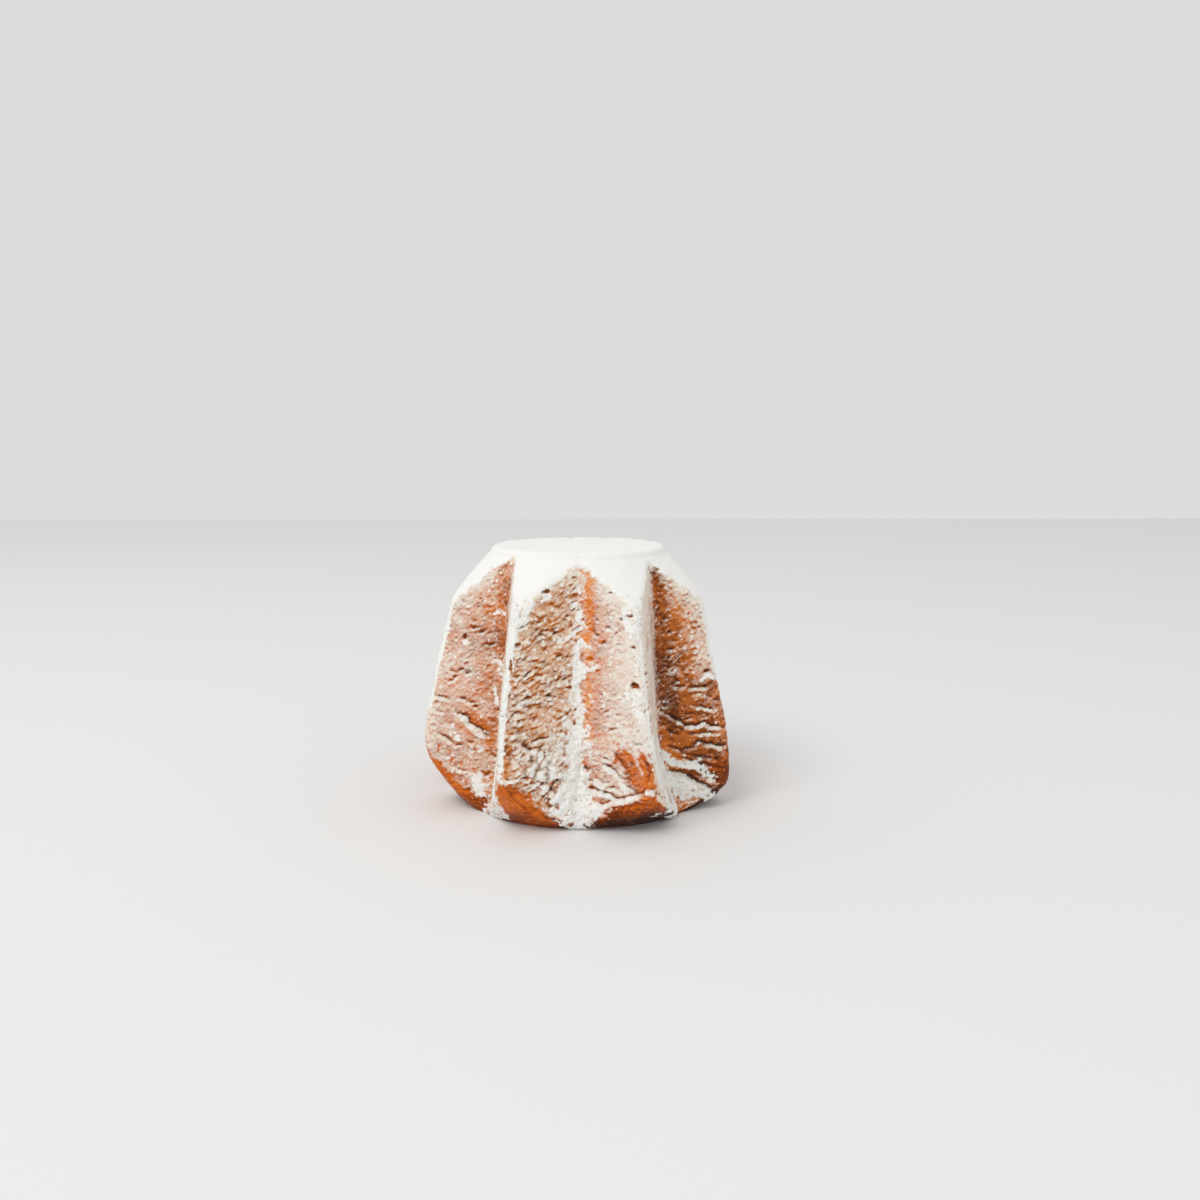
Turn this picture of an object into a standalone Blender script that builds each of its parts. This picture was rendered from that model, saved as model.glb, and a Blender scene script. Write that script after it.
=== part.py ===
"""Pandoro: a tall festive loaf baked in an eight-pointed fluted mould, turned out with its narrow end up.

Metres, +Z up. The origin is the middle of the flat base and -Y is the front. A place on the wall is given
by its bearing, in degrees from the front towards +X, and its height above the base.
"""

import bisect
import math

import bmesh
import bpy
from mathutils import Vector, noise

# Overall size
HEIGHT = 0.188
RIM_RADIUS = 0.0600

# The mould's flutes: (bearing, reach) of each ridge, and of the valley after it. Reach is a share of the
# radii below, and the loaf's spacing and reach are a little uneven.
RIDGES = (
    (-27, 1.0), (24.5, 1.0), (68, 1.01), (111.5, 1.0),
    (156, 1.015), (200.5, 0.99), (245.5, 1.0), (290, 1.02),
)
VALLEYS = (
    (0.5, 1.0), (46.5, 1.0), (90, 0.98), (134, 1.0),
    (178.5, 1.01), (223, 0.97), (268, 1.0), (315, 0.94),
)
RIDGE_RADIUS = 0.1215
RIDGE_LEAN = 0.255
RIDGE_ROUNDING = 0.0060
VALLEY_RADIUS = 0.0832
VALLEY_LEAN = 0.078
VALLEY_TOP_LEAN = 0.10
VALLEY_TOP_START = 0.150
VALLEY_ROUNDING = 0.0065
FACE_SWELL = 0.0012

# Where the straight wall starts and how softly, and the bevel that cuts the flutes off under the rim
WALL_START = 0.058
WALL_SOFTNESS = 0.022
BEVEL_SLOPE = 1.0
BEVEL_BLEND = 0.0045

# The flat foot it rests on, a little narrower from front to back, and wider on the right than on the left
FOOT_RADIUS = 0.0865
FOOT_SQUEEZE = 0.0050
FOOT_OFFSET = 0.0027

# The heel, where the dough rose out of the mould. It is higher on the left, the front and back valleys
# open out there, and every valley fills up towards the foot.
HEEL_REACH = 0.1235
HEEL_HEIGHT = 0.060
HEEL_HEIGHT_CHANGE = 0.024
HEEL_BLEND = 0.0080
HEEL_SPLAY = 8.0
HEEL_SPLAY_HEIGHT = 0.060
FOOT_FILL = 0.006
FOOT_FILL_HEIGHT = 0.035

# How far the loaf's axis bows to the right at its foot and its rim
AXIS_BOW = 0.0018

# Unevenness of the crust: bumps a few fingers wide, and shallower ones between them
BROAD_BUMP_SPACING = 0.042
BROAD_BUMP_DEPTH = 0.0012
FINE_BUMP_SPACING = 0.013
FINE_BUMP_DEPTH = 0.0005
TOP_BUMP_DEPTH = 0.0009
BUMP_OFFSET = Vector((3.1, 7.7, 1.9))

# Creases in the crust: (bearing, height) of both ends, how deep and how wide. Below each is a raised lip.
CREASES = (
    ((45, 0.077), (69, 0.058), 0.0026, 0.0030),
    ((53, 0.092), (70, 0.088), 0.0012, 0.0022),
    ((49, 0.051), (66, 0.036), 0.0024, 0.0026),
    ((54, 0.049), (72, 0.047), 0.0024, 0.0024),
    ((52, 0.038), (66, 0.025), 0.0026, 0.0026),
    ((49, 0.030), (68, 0.011), 0.0032, 0.0030),
    ((4, 0.030), (22, 0.032), 0.0026, 0.0028),
    ((9, 0.051), (19, 0.030), 0.0022, 0.0024),
    ((7, 0.012), (30, 0.027), 0.0024, 0.0028),
    ((-32, 0.029), (-20, 0.034), 0.0018, 0.0024),
    ((-24, 0.012), (-5, 0.006), 0.0018, 0.0026),
    ((-62, 0.072), (-51, 0.056), 0.0030, 0.0026),
    ((-70, 0.046), (-58, 0.040), 0.0014, 0.0024),
    ((-29, 0.146), (-22, 0.146), 0.0020, 0.0022),
    ((-28, 0.136), (-21, 0.139), 0.0022, 0.0022),
    ((22, 0.144), (28, 0.142), 0.0024, 0.0026),
    ((17, 0.089), (23, 0.090), 0.0028, 0.0030),
    ((-14, 0.160), (-9, 0.160), 0.0028, 0.0030),
    ((88, 0.052), (112, 0.058), 0.0020, 0.0026),
    ((92, 0.030), (114, 0.034), 0.0024, 0.0028),
    ((116, 0.070), (130, 0.062), 0.0020, 0.0026),
    ((136, 0.040), (155, 0.048), 0.0022, 0.0028),
    ((160, 0.026), (180, 0.020), 0.0026, 0.0028),
    ((158, 0.088), (172, 0.082), 0.0018, 0.0026),
    ((184, 0.052), (200, 0.044), 0.0022, 0.0028),
    ((204, 0.030), (224, 0.036), 0.0024, 0.0028),
    ((228, 0.064), (243, 0.072), 0.0020, 0.0026),
    ((250, 0.024), (268, 0.030), 0.0024, 0.0028),
    ((270, 0.060), (286, 0.054), 0.0018, 0.0026),
)
CREASE_LIP = 0.45
CREASE_LIP_DROP = 1.7

# How the skin is divided: where columns stand between a valley and a ridge, how many rings each band of
# heights has, and each ring in over the top as (share of the rim's radius, depth below the top)
COLUMN_SHARES = (0.0, 0.12, 0.28, 0.46, 0.64, 0.82, 0.93)
RING_BANDS = ((0.0, 0.010, 5), (0.010, 0.086, 27), (0.086, 0.1835, 16))
TOP_RINGS = ((0.975, 0.0013), (0.93, 0.0), (0.62, 0.0006), (0.30, 0.0010))

CRUST_COLOUR = (0.62, 0.36, 0.20)
CRUST_ROUGHNESS = 0.75


def lerp(start, end, share):
    return start + (end - start) * share


def smooth_min(first, second, blend):
    """The lower of two sizes, with the edge where they cross rounded off over blend."""
    overlap = max(0.0, 1.0 - abs(first - second) / blend)
    return min(first, second) - blend * overlap**2 / 4


def soft_excess(value, softness):
    """How far value is above zero, easing in over softness."""
    return (value + math.hypot(value, softness)) / 2


def flute_corners():
    """Every ridge and valley as (bearing, reach, is it a ridge), in order and closing on itself."""
    corners = []
    for ridge, valley in zip(RIDGES, VALLEYS):
        corners += [(*ridge, True), (*valley, False)]
    first_bearing, first_reach = RIDGES[0]
    return [*corners, (first_bearing + 360, first_reach, True)]


CORNERS = flute_corners()


def corners_beside(bearing):
    """A bearing brought into the corners' range, with the ridge and the valley on either side of it."""
    first = RIDGES[0][0]
    around = (bearing - first) % 360 + first
    after = bisect.bisect_right([corner[0] for corner in CORNERS[:-1]], around)
    low, high = CORNERS[after - 1], CORNERS[after]
    return (around, low, high) if low[2] else (around, high, low)


def star_radius(bearing, height):
    """Distance from the axis to the fluted wall: flat faces between ridges and valleys, both rounded."""
    around, ridge_corner, valley_corner = corners_beside(bearing)
    ridge_lean = RIDGE_LEAN * soft_excess(height - WALL_START, WALL_SOFTNESS)
    valley_lean = VALLEY_LEAN * height + VALLEY_TOP_LEAN * max(0.0, height - VALLEY_TOP_START)
    fill = FOOT_FILL * max(0.0, 1 - height / FOOT_FILL_HEIGHT) ** 2
    ridge = ridge_corner[1] * (RIDGE_RADIUS - ridge_lean)
    valley = valley_corner[1] * (VALLEY_RADIUS - valley_lean) + fill
    gap = math.radians(abs(ridge_corner[0] - valley_corner[0]))
    turn = math.radians(abs(around - ridge_corner[0]))
    face = ridge * valley * math.sin(gap) / (ridge * math.sin(turn) + valley * math.sin(gap - turn))
    face += FACE_SWELL * math.sin(math.pi * turn / gap)
    ridge_slope = (ridge - valley * math.cos(gap)) / (valley * math.sin(gap))
    valley_slope = (ridge * math.cos(gap) - valley) / (ridge * math.sin(gap))
    near_ridge = max(0.0, 1 - ridge * turn / RIDGE_ROUNDING)
    near_valley = max(0.0, 1 - valley * (gap - turn) / VALLEY_ROUNDING)
    worn = ridge_slope * RIDGE_ROUNDING / 2 * near_ridge**2
    filled = valley_slope * VALLEY_ROUNDING / 2 * near_valley**2
    return face - worn + filled


def heel_radius(bearing, height):
    """Distance from the axis to the rounded underside, from the flat foot out to the widest level."""
    sideways = math.sin(math.radians(bearing))
    foot = FOOT_RADIUS - FOOT_SQUEEZE * (1 - 2 * sideways**2) + FOOT_OFFSET * sideways
    rise = min(1.0, height / (HEEL_HEIGHT - HEEL_HEIGHT_CHANGE * sideways))
    return lerp(HEEL_REACH, foot, (1 - rise) ** 2)


def wall_radius(bearing, height):
    """Distance from the axis to the loaf's side: the flutes, cut by the bevel above and the heel below."""
    opening = HEEL_SPLAY * max(0.0, 1 - height / HEEL_SPLAY_HEIGHT) ** 2
    star = star_radius(bearing - opening * math.sin(2 * math.radians(bearing)), height)
    bevel = RIM_RADIUS + BEVEL_SLOPE * (HEIGHT - height)
    cut = smooth_min(star, bevel, BEVEL_BLEND)
    return smooth_min(cut, heel_radius(bearing, height), HEEL_BLEND)


def crease_depth(crease, bearing, height):
    """How much one crease lowers the wall at a place, or raises it on the lip below the crease."""
    (start_bearing, start_height), (end_bearing, end_height), depth, width = crease
    girth = math.radians(1) * wall_radius(start_bearing, start_height)
    run = Vector(((end_bearing - start_bearing) * girth, end_height - start_height))
    side = ((bearing - start_bearing + 180) % 360 - 180) * girth
    offset = Vector((side, height - start_height))
    share = offset.dot(run) / run.length_squared
    if not 0 < share < 1:
        return 0.0
    across = Vector((-run.y, run.x)).normalized()
    above = (offset - run * share).dot(across)
    fade = math.sin(math.pi * share) ** 0.6
    groove = math.exp(-((above / width) ** 2))
    lip = CREASE_LIP * math.exp(-((above / width + CREASE_LIP_DROP) ** 2))
    return depth * fade * (groove - lip)


def wall_point(bearing, height):
    """A point of the loaf's side, with the crust's bumps and creases."""
    angle = math.radians(bearing)
    outward = Vector((math.sin(angle), -math.cos(angle), 0))
    place = outward * wall_radius(bearing, height) + Vector((0, 0, height))
    bumps = BROAD_BUMP_DEPTH * noise.noise(place / BROAD_BUMP_SPACING + BUMP_OFFSET)
    bumps += FINE_BUMP_DEPTH * noise.noise(place / FINE_BUMP_SPACING - BUMP_OFFSET)
    creases = sum(crease_depth(crease, bearing, height) for crease in CREASES)
    place += outward * (bumps - creases)
    place.x += AXIS_BOW * (2 * height / HEIGHT - 1) ** 2
    return place


def top_point(rim_point, share, depth):
    """A point of the nearly flat top, on the way from the rim to the middle."""
    middle = Vector((AXIS_BOW, 0))
    place = Vector((*middle.lerp(rim_point.xy, share), HEIGHT - depth))
    place.z -= TOP_BUMP_DEPTH * abs(noise.noise(place / FINE_BUMP_SPACING + BUMP_OFFSET))
    return place


def column_bearings():
    """Bearings of the mesh's columns, closest together at the ridges and valleys."""
    from_ridge = (0.0, *(1 - share for share in reversed(COLUMN_SHARES[1:])))
    bearings = []
    for low, high in zip(CORNERS, CORNERS[1:]):
        shares = from_ridge if low[2] else COLUMN_SHARES
        bearings += [lerp(low[0], high[0], share) for share in shares]
    return bearings


def ring_heights():
    """Heights of the wall's rings, closest together over the creased lower part."""
    heights = []
    for low, high, count in RING_BANDS:
        heights += [lerp(low, high, step / count) for step in range(count)]
    return [*heights, RING_BANDS[-1][1]]


def add_rings(mesh):
    """Rings of vertices from the foot up the wall, round the rim and in over the top."""
    bearings = column_bearings()
    rings = [[wall_point(bearing, height) for bearing in bearings] for height in ring_heights()]
    rim = rings[-1]
    rings += [[top_point(point, share, depth) for point in rim] for share, depth in TOP_RINGS]
    return [[mesh.verts.new(point) for point in ring] for ring in rings]


def skin(mesh, rings):
    """Quads between neighbouring rings, and a flat face over each end."""
    for lower, upper in zip(rings, rings[1:]):
        for i, corner in enumerate(lower):
            j = (i + 1) % len(lower)
            mesh.faces.new((corner, lower[j], upper[j], upper[i]))
    mesh.faces.new(reversed(rings[0]))
    mesh.faces.new(rings[-1])


def crust_material():
    material = bpy.data.materials.new("dusted_crust")
    material.use_nodes = True
    shader = material.node_tree.nodes["Principled BSDF"]
    shader.inputs["Base Color"].default_value = (*CRUST_COLOUR, 1)
    shader.inputs["Roughness"].default_value = CRUST_ROUGHNESS
    return material


def add_pandoro():
    mesh = bmesh.new()
    skin(mesh, add_rings(mesh))
    bmesh.ops.triangulate(mesh, faces=mesh.faces)
    data = bpy.data.meshes.new("pandoro")
    mesh.to_mesh(data)
    mesh.free()
    data.shade_smooth()
    data.materials.append(crust_material())
    loaf = bpy.data.objects.new("pandoro", data)
    bpy.context.scene.collection.objects.link(loaf)
    return loaf


def main():
    for old in list(bpy.data.objects):
        bpy.data.objects.remove(old)
    add_pandoro()


main()
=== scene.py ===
# A pandoro as it is served: the baked crust with its folds, pits and bubbles, and the icing sugar on it.
# Metres, +Z up, the front is -Y. A bearing is in degrees from the front towards +X.

import math
import random
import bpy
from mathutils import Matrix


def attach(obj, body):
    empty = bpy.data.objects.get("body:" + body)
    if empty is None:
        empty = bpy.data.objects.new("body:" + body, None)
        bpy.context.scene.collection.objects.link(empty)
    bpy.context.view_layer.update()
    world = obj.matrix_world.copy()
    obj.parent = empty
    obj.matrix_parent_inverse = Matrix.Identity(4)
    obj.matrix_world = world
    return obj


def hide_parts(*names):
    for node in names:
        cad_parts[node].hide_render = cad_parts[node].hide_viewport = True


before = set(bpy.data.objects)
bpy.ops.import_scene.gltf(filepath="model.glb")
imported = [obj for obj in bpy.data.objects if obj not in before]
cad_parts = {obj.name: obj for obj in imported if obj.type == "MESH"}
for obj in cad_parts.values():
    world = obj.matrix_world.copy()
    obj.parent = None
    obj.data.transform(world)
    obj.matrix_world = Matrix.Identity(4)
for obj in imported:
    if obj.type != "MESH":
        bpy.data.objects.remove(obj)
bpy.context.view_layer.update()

from types import SimpleNamespace

import bmesh
import bpy
import numpy as np
from mathutils import Vector, noise

scene = bpy.context.scene


# Small helpers

def ramp(low, high, value):
    # 0 at low, 1 at high, with soft ends; low may be the larger one
    share = np.clip((value - low) / (high - low), 0, 1)
    return share * share * (3 - 2 * share)


def smoothMin(first, second, blend):
    overlap = np.clip(1 - np.abs(first - second) / blend, 0, None)
    return np.minimum(first, second) - blend * overlap**2 / 4


def solidNoise(places, spacing, shift):
    # the noise that the solid's own bumps are made with
    return np.array([noise.noise(place) for place in (places / spacing + shift).tolist()])


def latticeCorners(places, spacing):
    # the cell each place is in, how far into it, and the lattice's size
    inCells = places / spacing
    inCells = inCells - np.floor(inCells.min(axis=0)) + 1
    cell = np.floor(inCells).astype(int)
    return cell, inCells - cell, cell.max(axis=0) + 3


def noiseAt(places, spacing, seed):
    # smooth noise of about -1 to 1 whose bumps are the given spacing apart
    cell, inside, size = latticeCorners(places, spacing)
    slopes = np.random.default_rng(seed).uniform(-1, 1, (*size, 3))
    ease = inside**3 * (inside * (inside * 6 - 15) + 10)
    total = np.zeros(len(places))
    for corner in np.ndindex(2, 2, 2):
        away = inside - corner
        slope = slopes[tuple((cell + corner).T)]
        share = np.prod(np.where(corner, ease, 1 - ease), axis=1)
        total += share * np.einsum("ij,ij->i", slope, away)
    return np.clip(total * 1.5, -1, 1)


def cellsAt(places, spacing, seed):
    # distance to the nearest of many scattered points, in spacings, and that point's own two chances
    cell, inside, size = latticeCorners(places, spacing)
    dice = np.random.default_rng(seed)
    points = dice.uniform(0.1, 0.9, (*size, 3))
    chances = dice.uniform(0, 1, (*size, 2))
    nearest = np.full(len(places), 9.0)
    chance = np.zeros((len(places), 2))
    for corner in np.ndindex(3, 3, 3):
        step = np.array(corner) - 1
        at = tuple((cell + step).T)
        distance = np.linalg.norm(points[at] + step - inside, axis=1)
        closer = distance < nearest
        nearest = np.where(closer, distance, nearest)
        chance = np.where(closer[:, None], chances[at], chance)
    return nearest, chance[:, 0], chance[:, 1]


def toLinear(hexColour):
    channels = [int(hexColour[i:i + 2], 16) / 255 for i in (1, 3, 5)]
    linear = [c / 12.92 if c <= 0.04045 else ((c + 0.055) / 1.055) ** 2.4 for c in channels]
    return (*linear, 1)


def addNode(tree, kind, values=None):
    # a value sets a property or an input, and another node's output is linked to it; gives the outputs
    node = tree.nodes.new("ShaderNode" + kind)
    for name, value in (values or {}).items():
        if isinstance(value, bpy.types.NodeSocket):
            tree.links.new(value, node.inputs[name])
        elif isinstance(name, str) and hasattr(node, name):
            setattr(node, name, value)
        else:
            node.inputs[name].default_value = value
    return node.outputs


def asInputs(values):
    # a node's inputs 1, 2 and on; a range's are from low, from high, to low, to high
    return dict(enumerate(values, 1))


def newMaterial(name):
    material = bpy.data.materials.new(name)
    material.use_nodes = True
    return material, material.node_tree.nodes["Principled BSDF"]


# The noises behind every unevenness of the crust and the sugar: strength, spacing in mm and seed of each
unevenness = {
    "craterRims": ((0.25, 3.3, 69),),
    "roughness": ((0.25, 22, 7),),
    "heel": ((0.3, 14, 10),),
    "cap": ((0.50, 16, 11), (0.13, 4.8, 12)),
    "foldWaver": ((0.55, 6.5, 47), (0.55, 2.8, 48)),
    "foldGaps": ((0.9, 5.2, 63), (0.8, 2.3, 64)),
    "ragged": ((0.65, 6.2, 49), (0.70, 2.8, 50)),
    "capEdge": ((0.0022, 6.2, 51), (0.0018, 2.6, 52)),
    "heelEdge": ((0.13, 10, 53), (0.10, 3.8, 54)),
    "streakEdge": ((0.55, 8.5, 71), (0.45, 3.6, 72)),
    "driftHoles": ((1, 3.6, 66), (0.5, 2.1, 67)),
    "driftTop": ((0.3, 7.5, 62),),
    "driftGrain": ((0.16, 2.1, 65),),
    "clumps": ((1, 4.0, 55),),
    "rings": ((1.1, 3.0, 68),),
    "dustTurn": ((1.5, 7, 57),),
    "dust": ((0.20, 12, 58), (0.14, 5.5, 59)),
    "unseenDust": ((0.34, 30, 70),),
    "bake": ((0.16, 20, 60), (0.12, 7, 61)),
    "froth": ((0.25, 24, 73),),
}
# and those that move a place about, with a seed for each axis
wanderings = {
    "wander": (5.8, (41, 42, 43)),
    "quiver": (2.4, (44, 45, 46)),
}


def uneven(places, name):
    return sum(strength * noiseAt(places, spacing / 1000, seed)
               for strength, spacing, seed in unevenness[name])


def wandering(places, name):
    spacing, seeds = wanderings[name]
    return np.stack([noiseAt(places, spacing / 1000, seed) for seed in seeds], axis=1)


# The loaf's form, the same as its solid's

loaf = {
    "height": 0.188,
    "rimRadius": 0.0600,
    # bearing and reach of each ridge and of the valley after it
    "ridges": (
        (-27, 1.0), (24.5, 1.0), (68, 1.01), (111.5, 1.0),
        (156, 1.015), (200.5, 0.99), (245.5, 1.0), (290, 1.02),
    ),
    "valleys": (
        (0.5, 1.0), (46.5, 1.0), (90, 0.98), (134, 1.0),
        (178.5, 1.01), (223, 0.97), (268, 1.0), (315, 0.94),
    ),
    "ridgeRadius": 0.1215,
    "ridgeLean": 0.255,
    "ridgeRounding": 0.0060,
    "valleyRadius": 0.0832,
    "valleyLean": 0.078,
    "valleyTopLean": 0.10,
    "valleyTopStart": 0.150,
    "valleyRounding": 0.0065,
    "faceSwell": 0.0012,
    "wallStart": 0.058,
    "wallSoftness": 0.022,
    "bevelBlend": 0.0030,
    "footRadius": 0.0865,
    "footSqueeze": 0.0050,
    "footOffset": 0.0027,
    "heelReach": 0.1235,
    "heelHeight": 0.060,
    "heelHeightChange": 0.024,
    "heelBlend": 0.0080,
    "heelSplay": 8.0,
    "heelSplayHeight": 0.060,
    "footFill": 0.006,
    "footFillHeight": 0.035,
    "axisBow": 0.0018,
    "broadBumps": (0.042, 0.0012),
    "fineBumps": (0.013, 0.0005),
    "bumpShift": np.array((3.1, 7.7, 1.9)),
    # how finely the skin is divided, and how much closer its columns stand at ridges and valleys
    "columnsPerFace": 54,
    "columnGather": 0.12,
    "columnRadii": (0.12, 0.078),      # a ridge's and a valley's, halfway up
    "wallRings": 232,
    "wallTop": 0.1835,
    "outlineBearings": (-27, -14, 0, 12, 24),
    # the curve round the rim: how far along it each ring is, and the bend's and the end's share of its radius
    "rimSteps": (0.17, 0.33, 0.5, 0.67, 0.83, 1.0),
    "rimBend": (0.985, 0.93),
    # rings in to the middle: shares of the edge's radius at both ends, how many, and every how many columns
    "topBands": ((0.912, 0.46, 24, 2), (0.46, 0.23, 12, 4), (0.23, 0.115, 6, 8), (0.115, 0.06, 3, 16),
                 (0.06, 0.02, 2, 32)),
    "footBands": ((0.98, 0.60, 14, 2), (0.60, 0.30, 9, 4), (0.30, 0.15, 5, 8), (0.15, 0.07, 3, 16),
                  (0.07, 0.02, 2, 32)),
    # nicks in the rim: bearing and depth in mm
    "rimNicks": ((186, 1.2), (161.5, 1.1), (172, 0.4), (200, 0.5), (60, 0.4), (250, 0.6), (120, 0.5)),
    "nickWidth": 0.0022,
    "nickRadius": 0.062,
    "underHollow": 0.0016,
}

corners = [corner for pair in zip(loaf["ridges"], loaf["valleys"]) for corner in pair]
corners.append((loaf["ridges"][0][0] + 360, loaf["ridges"][0][1]))
cornerBearings = np.array([bearing for bearing, reach in corners], float)
cornerReaches = np.array([reach for bearing, reach in corners], float)


def aroundLoaf(bearing):
    return (bearing - cornerBearings[0]) % 360 + cornerBearings[0]


def starRadius(bearing, height):
    around = aroundLoaf(bearing)
    after = np.clip(np.searchsorted(cornerBearings, around, side="right"), 1, len(corners) - 1)
    before = after - 1
    ridgeFirst = before % 2 == 0
    ridgeCorner = np.where(ridgeFirst, before, after)
    valleyCorner = np.where(ridgeFirst, after, before)
    rise = height - loaf["wallStart"]
    ridgeLean = loaf["ridgeLean"] * (rise + np.hypot(rise, loaf["wallSoftness"])) / 2
    valleyLean = loaf["valleyLean"] * height
    valleyLean = valleyLean + loaf["valleyTopLean"] * np.clip(height - loaf["valleyTopStart"], 0, None)
    fill = loaf["footFill"] * np.clip(1 - height / loaf["footFillHeight"], 0, None) ** 2
    ridge = cornerReaches[ridgeCorner] * (loaf["ridgeRadius"] - ridgeLean)
    valley = cornerReaches[valleyCorner] * (loaf["valleyRadius"] - valleyLean) + fill
    gap = np.radians(np.abs(cornerBearings[after] - cornerBearings[before]))
    turn = np.radians(np.abs(around - cornerBearings[ridgeCorner]))
    face = ridge * valley * np.sin(gap) / (ridge * np.sin(turn) + valley * np.sin(gap - turn))
    face = face + loaf["faceSwell"] * np.sin(np.pi * turn / gap)
    ridgeSlope = (ridge - valley * np.cos(gap)) / (valley * np.sin(gap))
    valleySlope = (ridge * np.cos(gap) - valley) / (ridge * np.sin(gap))
    nearRidge = np.clip(1 - ridge * turn / loaf["ridgeRounding"], 0, None)
    nearValley = np.clip(1 - valley * (gap - turn) / loaf["valleyRounding"], 0, None)
    worn = ridgeSlope * loaf["ridgeRounding"] / 2 * nearRidge**2
    filled = valleySlope * loaf["valleyRounding"] / 2 * nearValley**2
    return face - worn + filled


def heelRadius(bearing, height):
    sideways = np.sin(np.radians(bearing))
    foot = loaf["footRadius"] - loaf["footSqueeze"] * (1 - 2 * sideways**2) + loaf["footOffset"] * sideways
    rise = np.minimum(1, height / (loaf["heelHeight"] - loaf["heelHeightChange"] * sideways))
    return loaf["heelReach"] + (foot - loaf["heelReach"]) * (1 - rise) ** 2


def bevelExcess(bearing, height):
    # how far the flutes would stand out past the bevel under the rim
    return starRadius(bearing, height) - (loaf["rimRadius"] + loaf["height"] - height)


def wallRadius(bearing, height):
    opening = loaf["heelSplay"] * np.clip(1 - height / loaf["heelSplayHeight"], 0, None) ** 2
    star = starRadius(bearing - opening * np.sin(2 * np.radians(bearing)), height)
    bevel = loaf["rimRadius"] + loaf["height"] - height
    cut = smoothMin(star, bevel, loaf["bevelBlend"])
    return smoothMin(cut, heelRadius(bearing, height), loaf["heelBlend"])


def wallPlaces(bearing, height):
    # points of the wall with the solid's own broad bumps
    angle = np.radians(bearing)
    outward = np.stack((np.sin(angle), -np.cos(angle), 0 * angle), axis=-1)
    places = outward * wallRadius(bearing, height)[:, None]
    places[:, 2] = height
    for spacing, depth, way in ((*loaf["broadBumps"], 1), (*loaf["fineBumps"], -1)):
        places = places + outward * (depth * solidNoise(places, spacing, way * loaf["bumpShift"]))[:, None]
    places[:, 0] += loaf["axisBow"] * (2 * height / loaf["height"] - 1) ** 2
    return places


# The skin: rings of points up the wall, round the rim and in over the top, and in under the foot

def columnBearings():
    # evenly spread along each face's chord, a little closer at ridges and valleys
    count = loaf["columnsPerFace"]
    shares = np.arange(count) / count
    shares = shares - loaf["columnGather"] * np.sin(2 * np.pi * shares) / (2 * np.pi)
    bearings = []
    for i, (low, high) in enumerate(zip(cornerBearings, cornerBearings[1:])):
        lowRadius, highRadius = loaf["columnRadii"] if i % 2 == 0 else loaf["columnRadii"][::-1]
        gap = math.radians(high - low)
        across = shares * highRadius * math.sin(gap)
        along = (1 - shares) * lowRadius + shares * highRadius * math.cos(gap)
        bearings.append(low + np.degrees(np.arctan2(across, along)))
    return np.concatenate(bearings)


def ringHeights():
    # equal steps along the wall's average outline
    fine = np.linspace(0, loaf["wallTop"], 600)
    outline = np.mean([wallRadius(np.full_like(fine, b), fine) for b in loaf["outlineBearings"]], axis=0)
    steps = np.hypot(np.diff(fine), np.diff(outline))
    travelled = np.concatenate(([0], np.cumsum(steps)))
    wanted = np.linspace(0, travelled[-1], loaf["wallRings"])
    return np.interp(wanted, travelled, fine)


def capShares(bands):
    # (share of the edge's radius, column step) of each ring on the way in to the middle
    rings = []
    for outer, inner, count, step in bands:
        rings += [(share, step) for share in np.linspace(outer, inner, count, endpoint=False)]
    return rings


def stitch(lower, upper):
    # faces between two rings of point numbers, where the upper may have half as many
    lowerNext, upperNext = np.roll(lower, -1), np.roll(upper, -1)
    if len(upper) == len(lower):
        return np.stack((lower, lowerNext, upperNext, upper), axis=1), np.empty((0, 3), int)
    first, middle, last = lower[::2], lower[1::2], np.roll(lower[::2], -1)
    fans = [(first, middle, upper), (middle, last, upperNext), (middle, upperNext, upper)]
    return np.empty((0, 4), int), np.concatenate([np.stack(fan, axis=1) for fan in fans])


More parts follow.
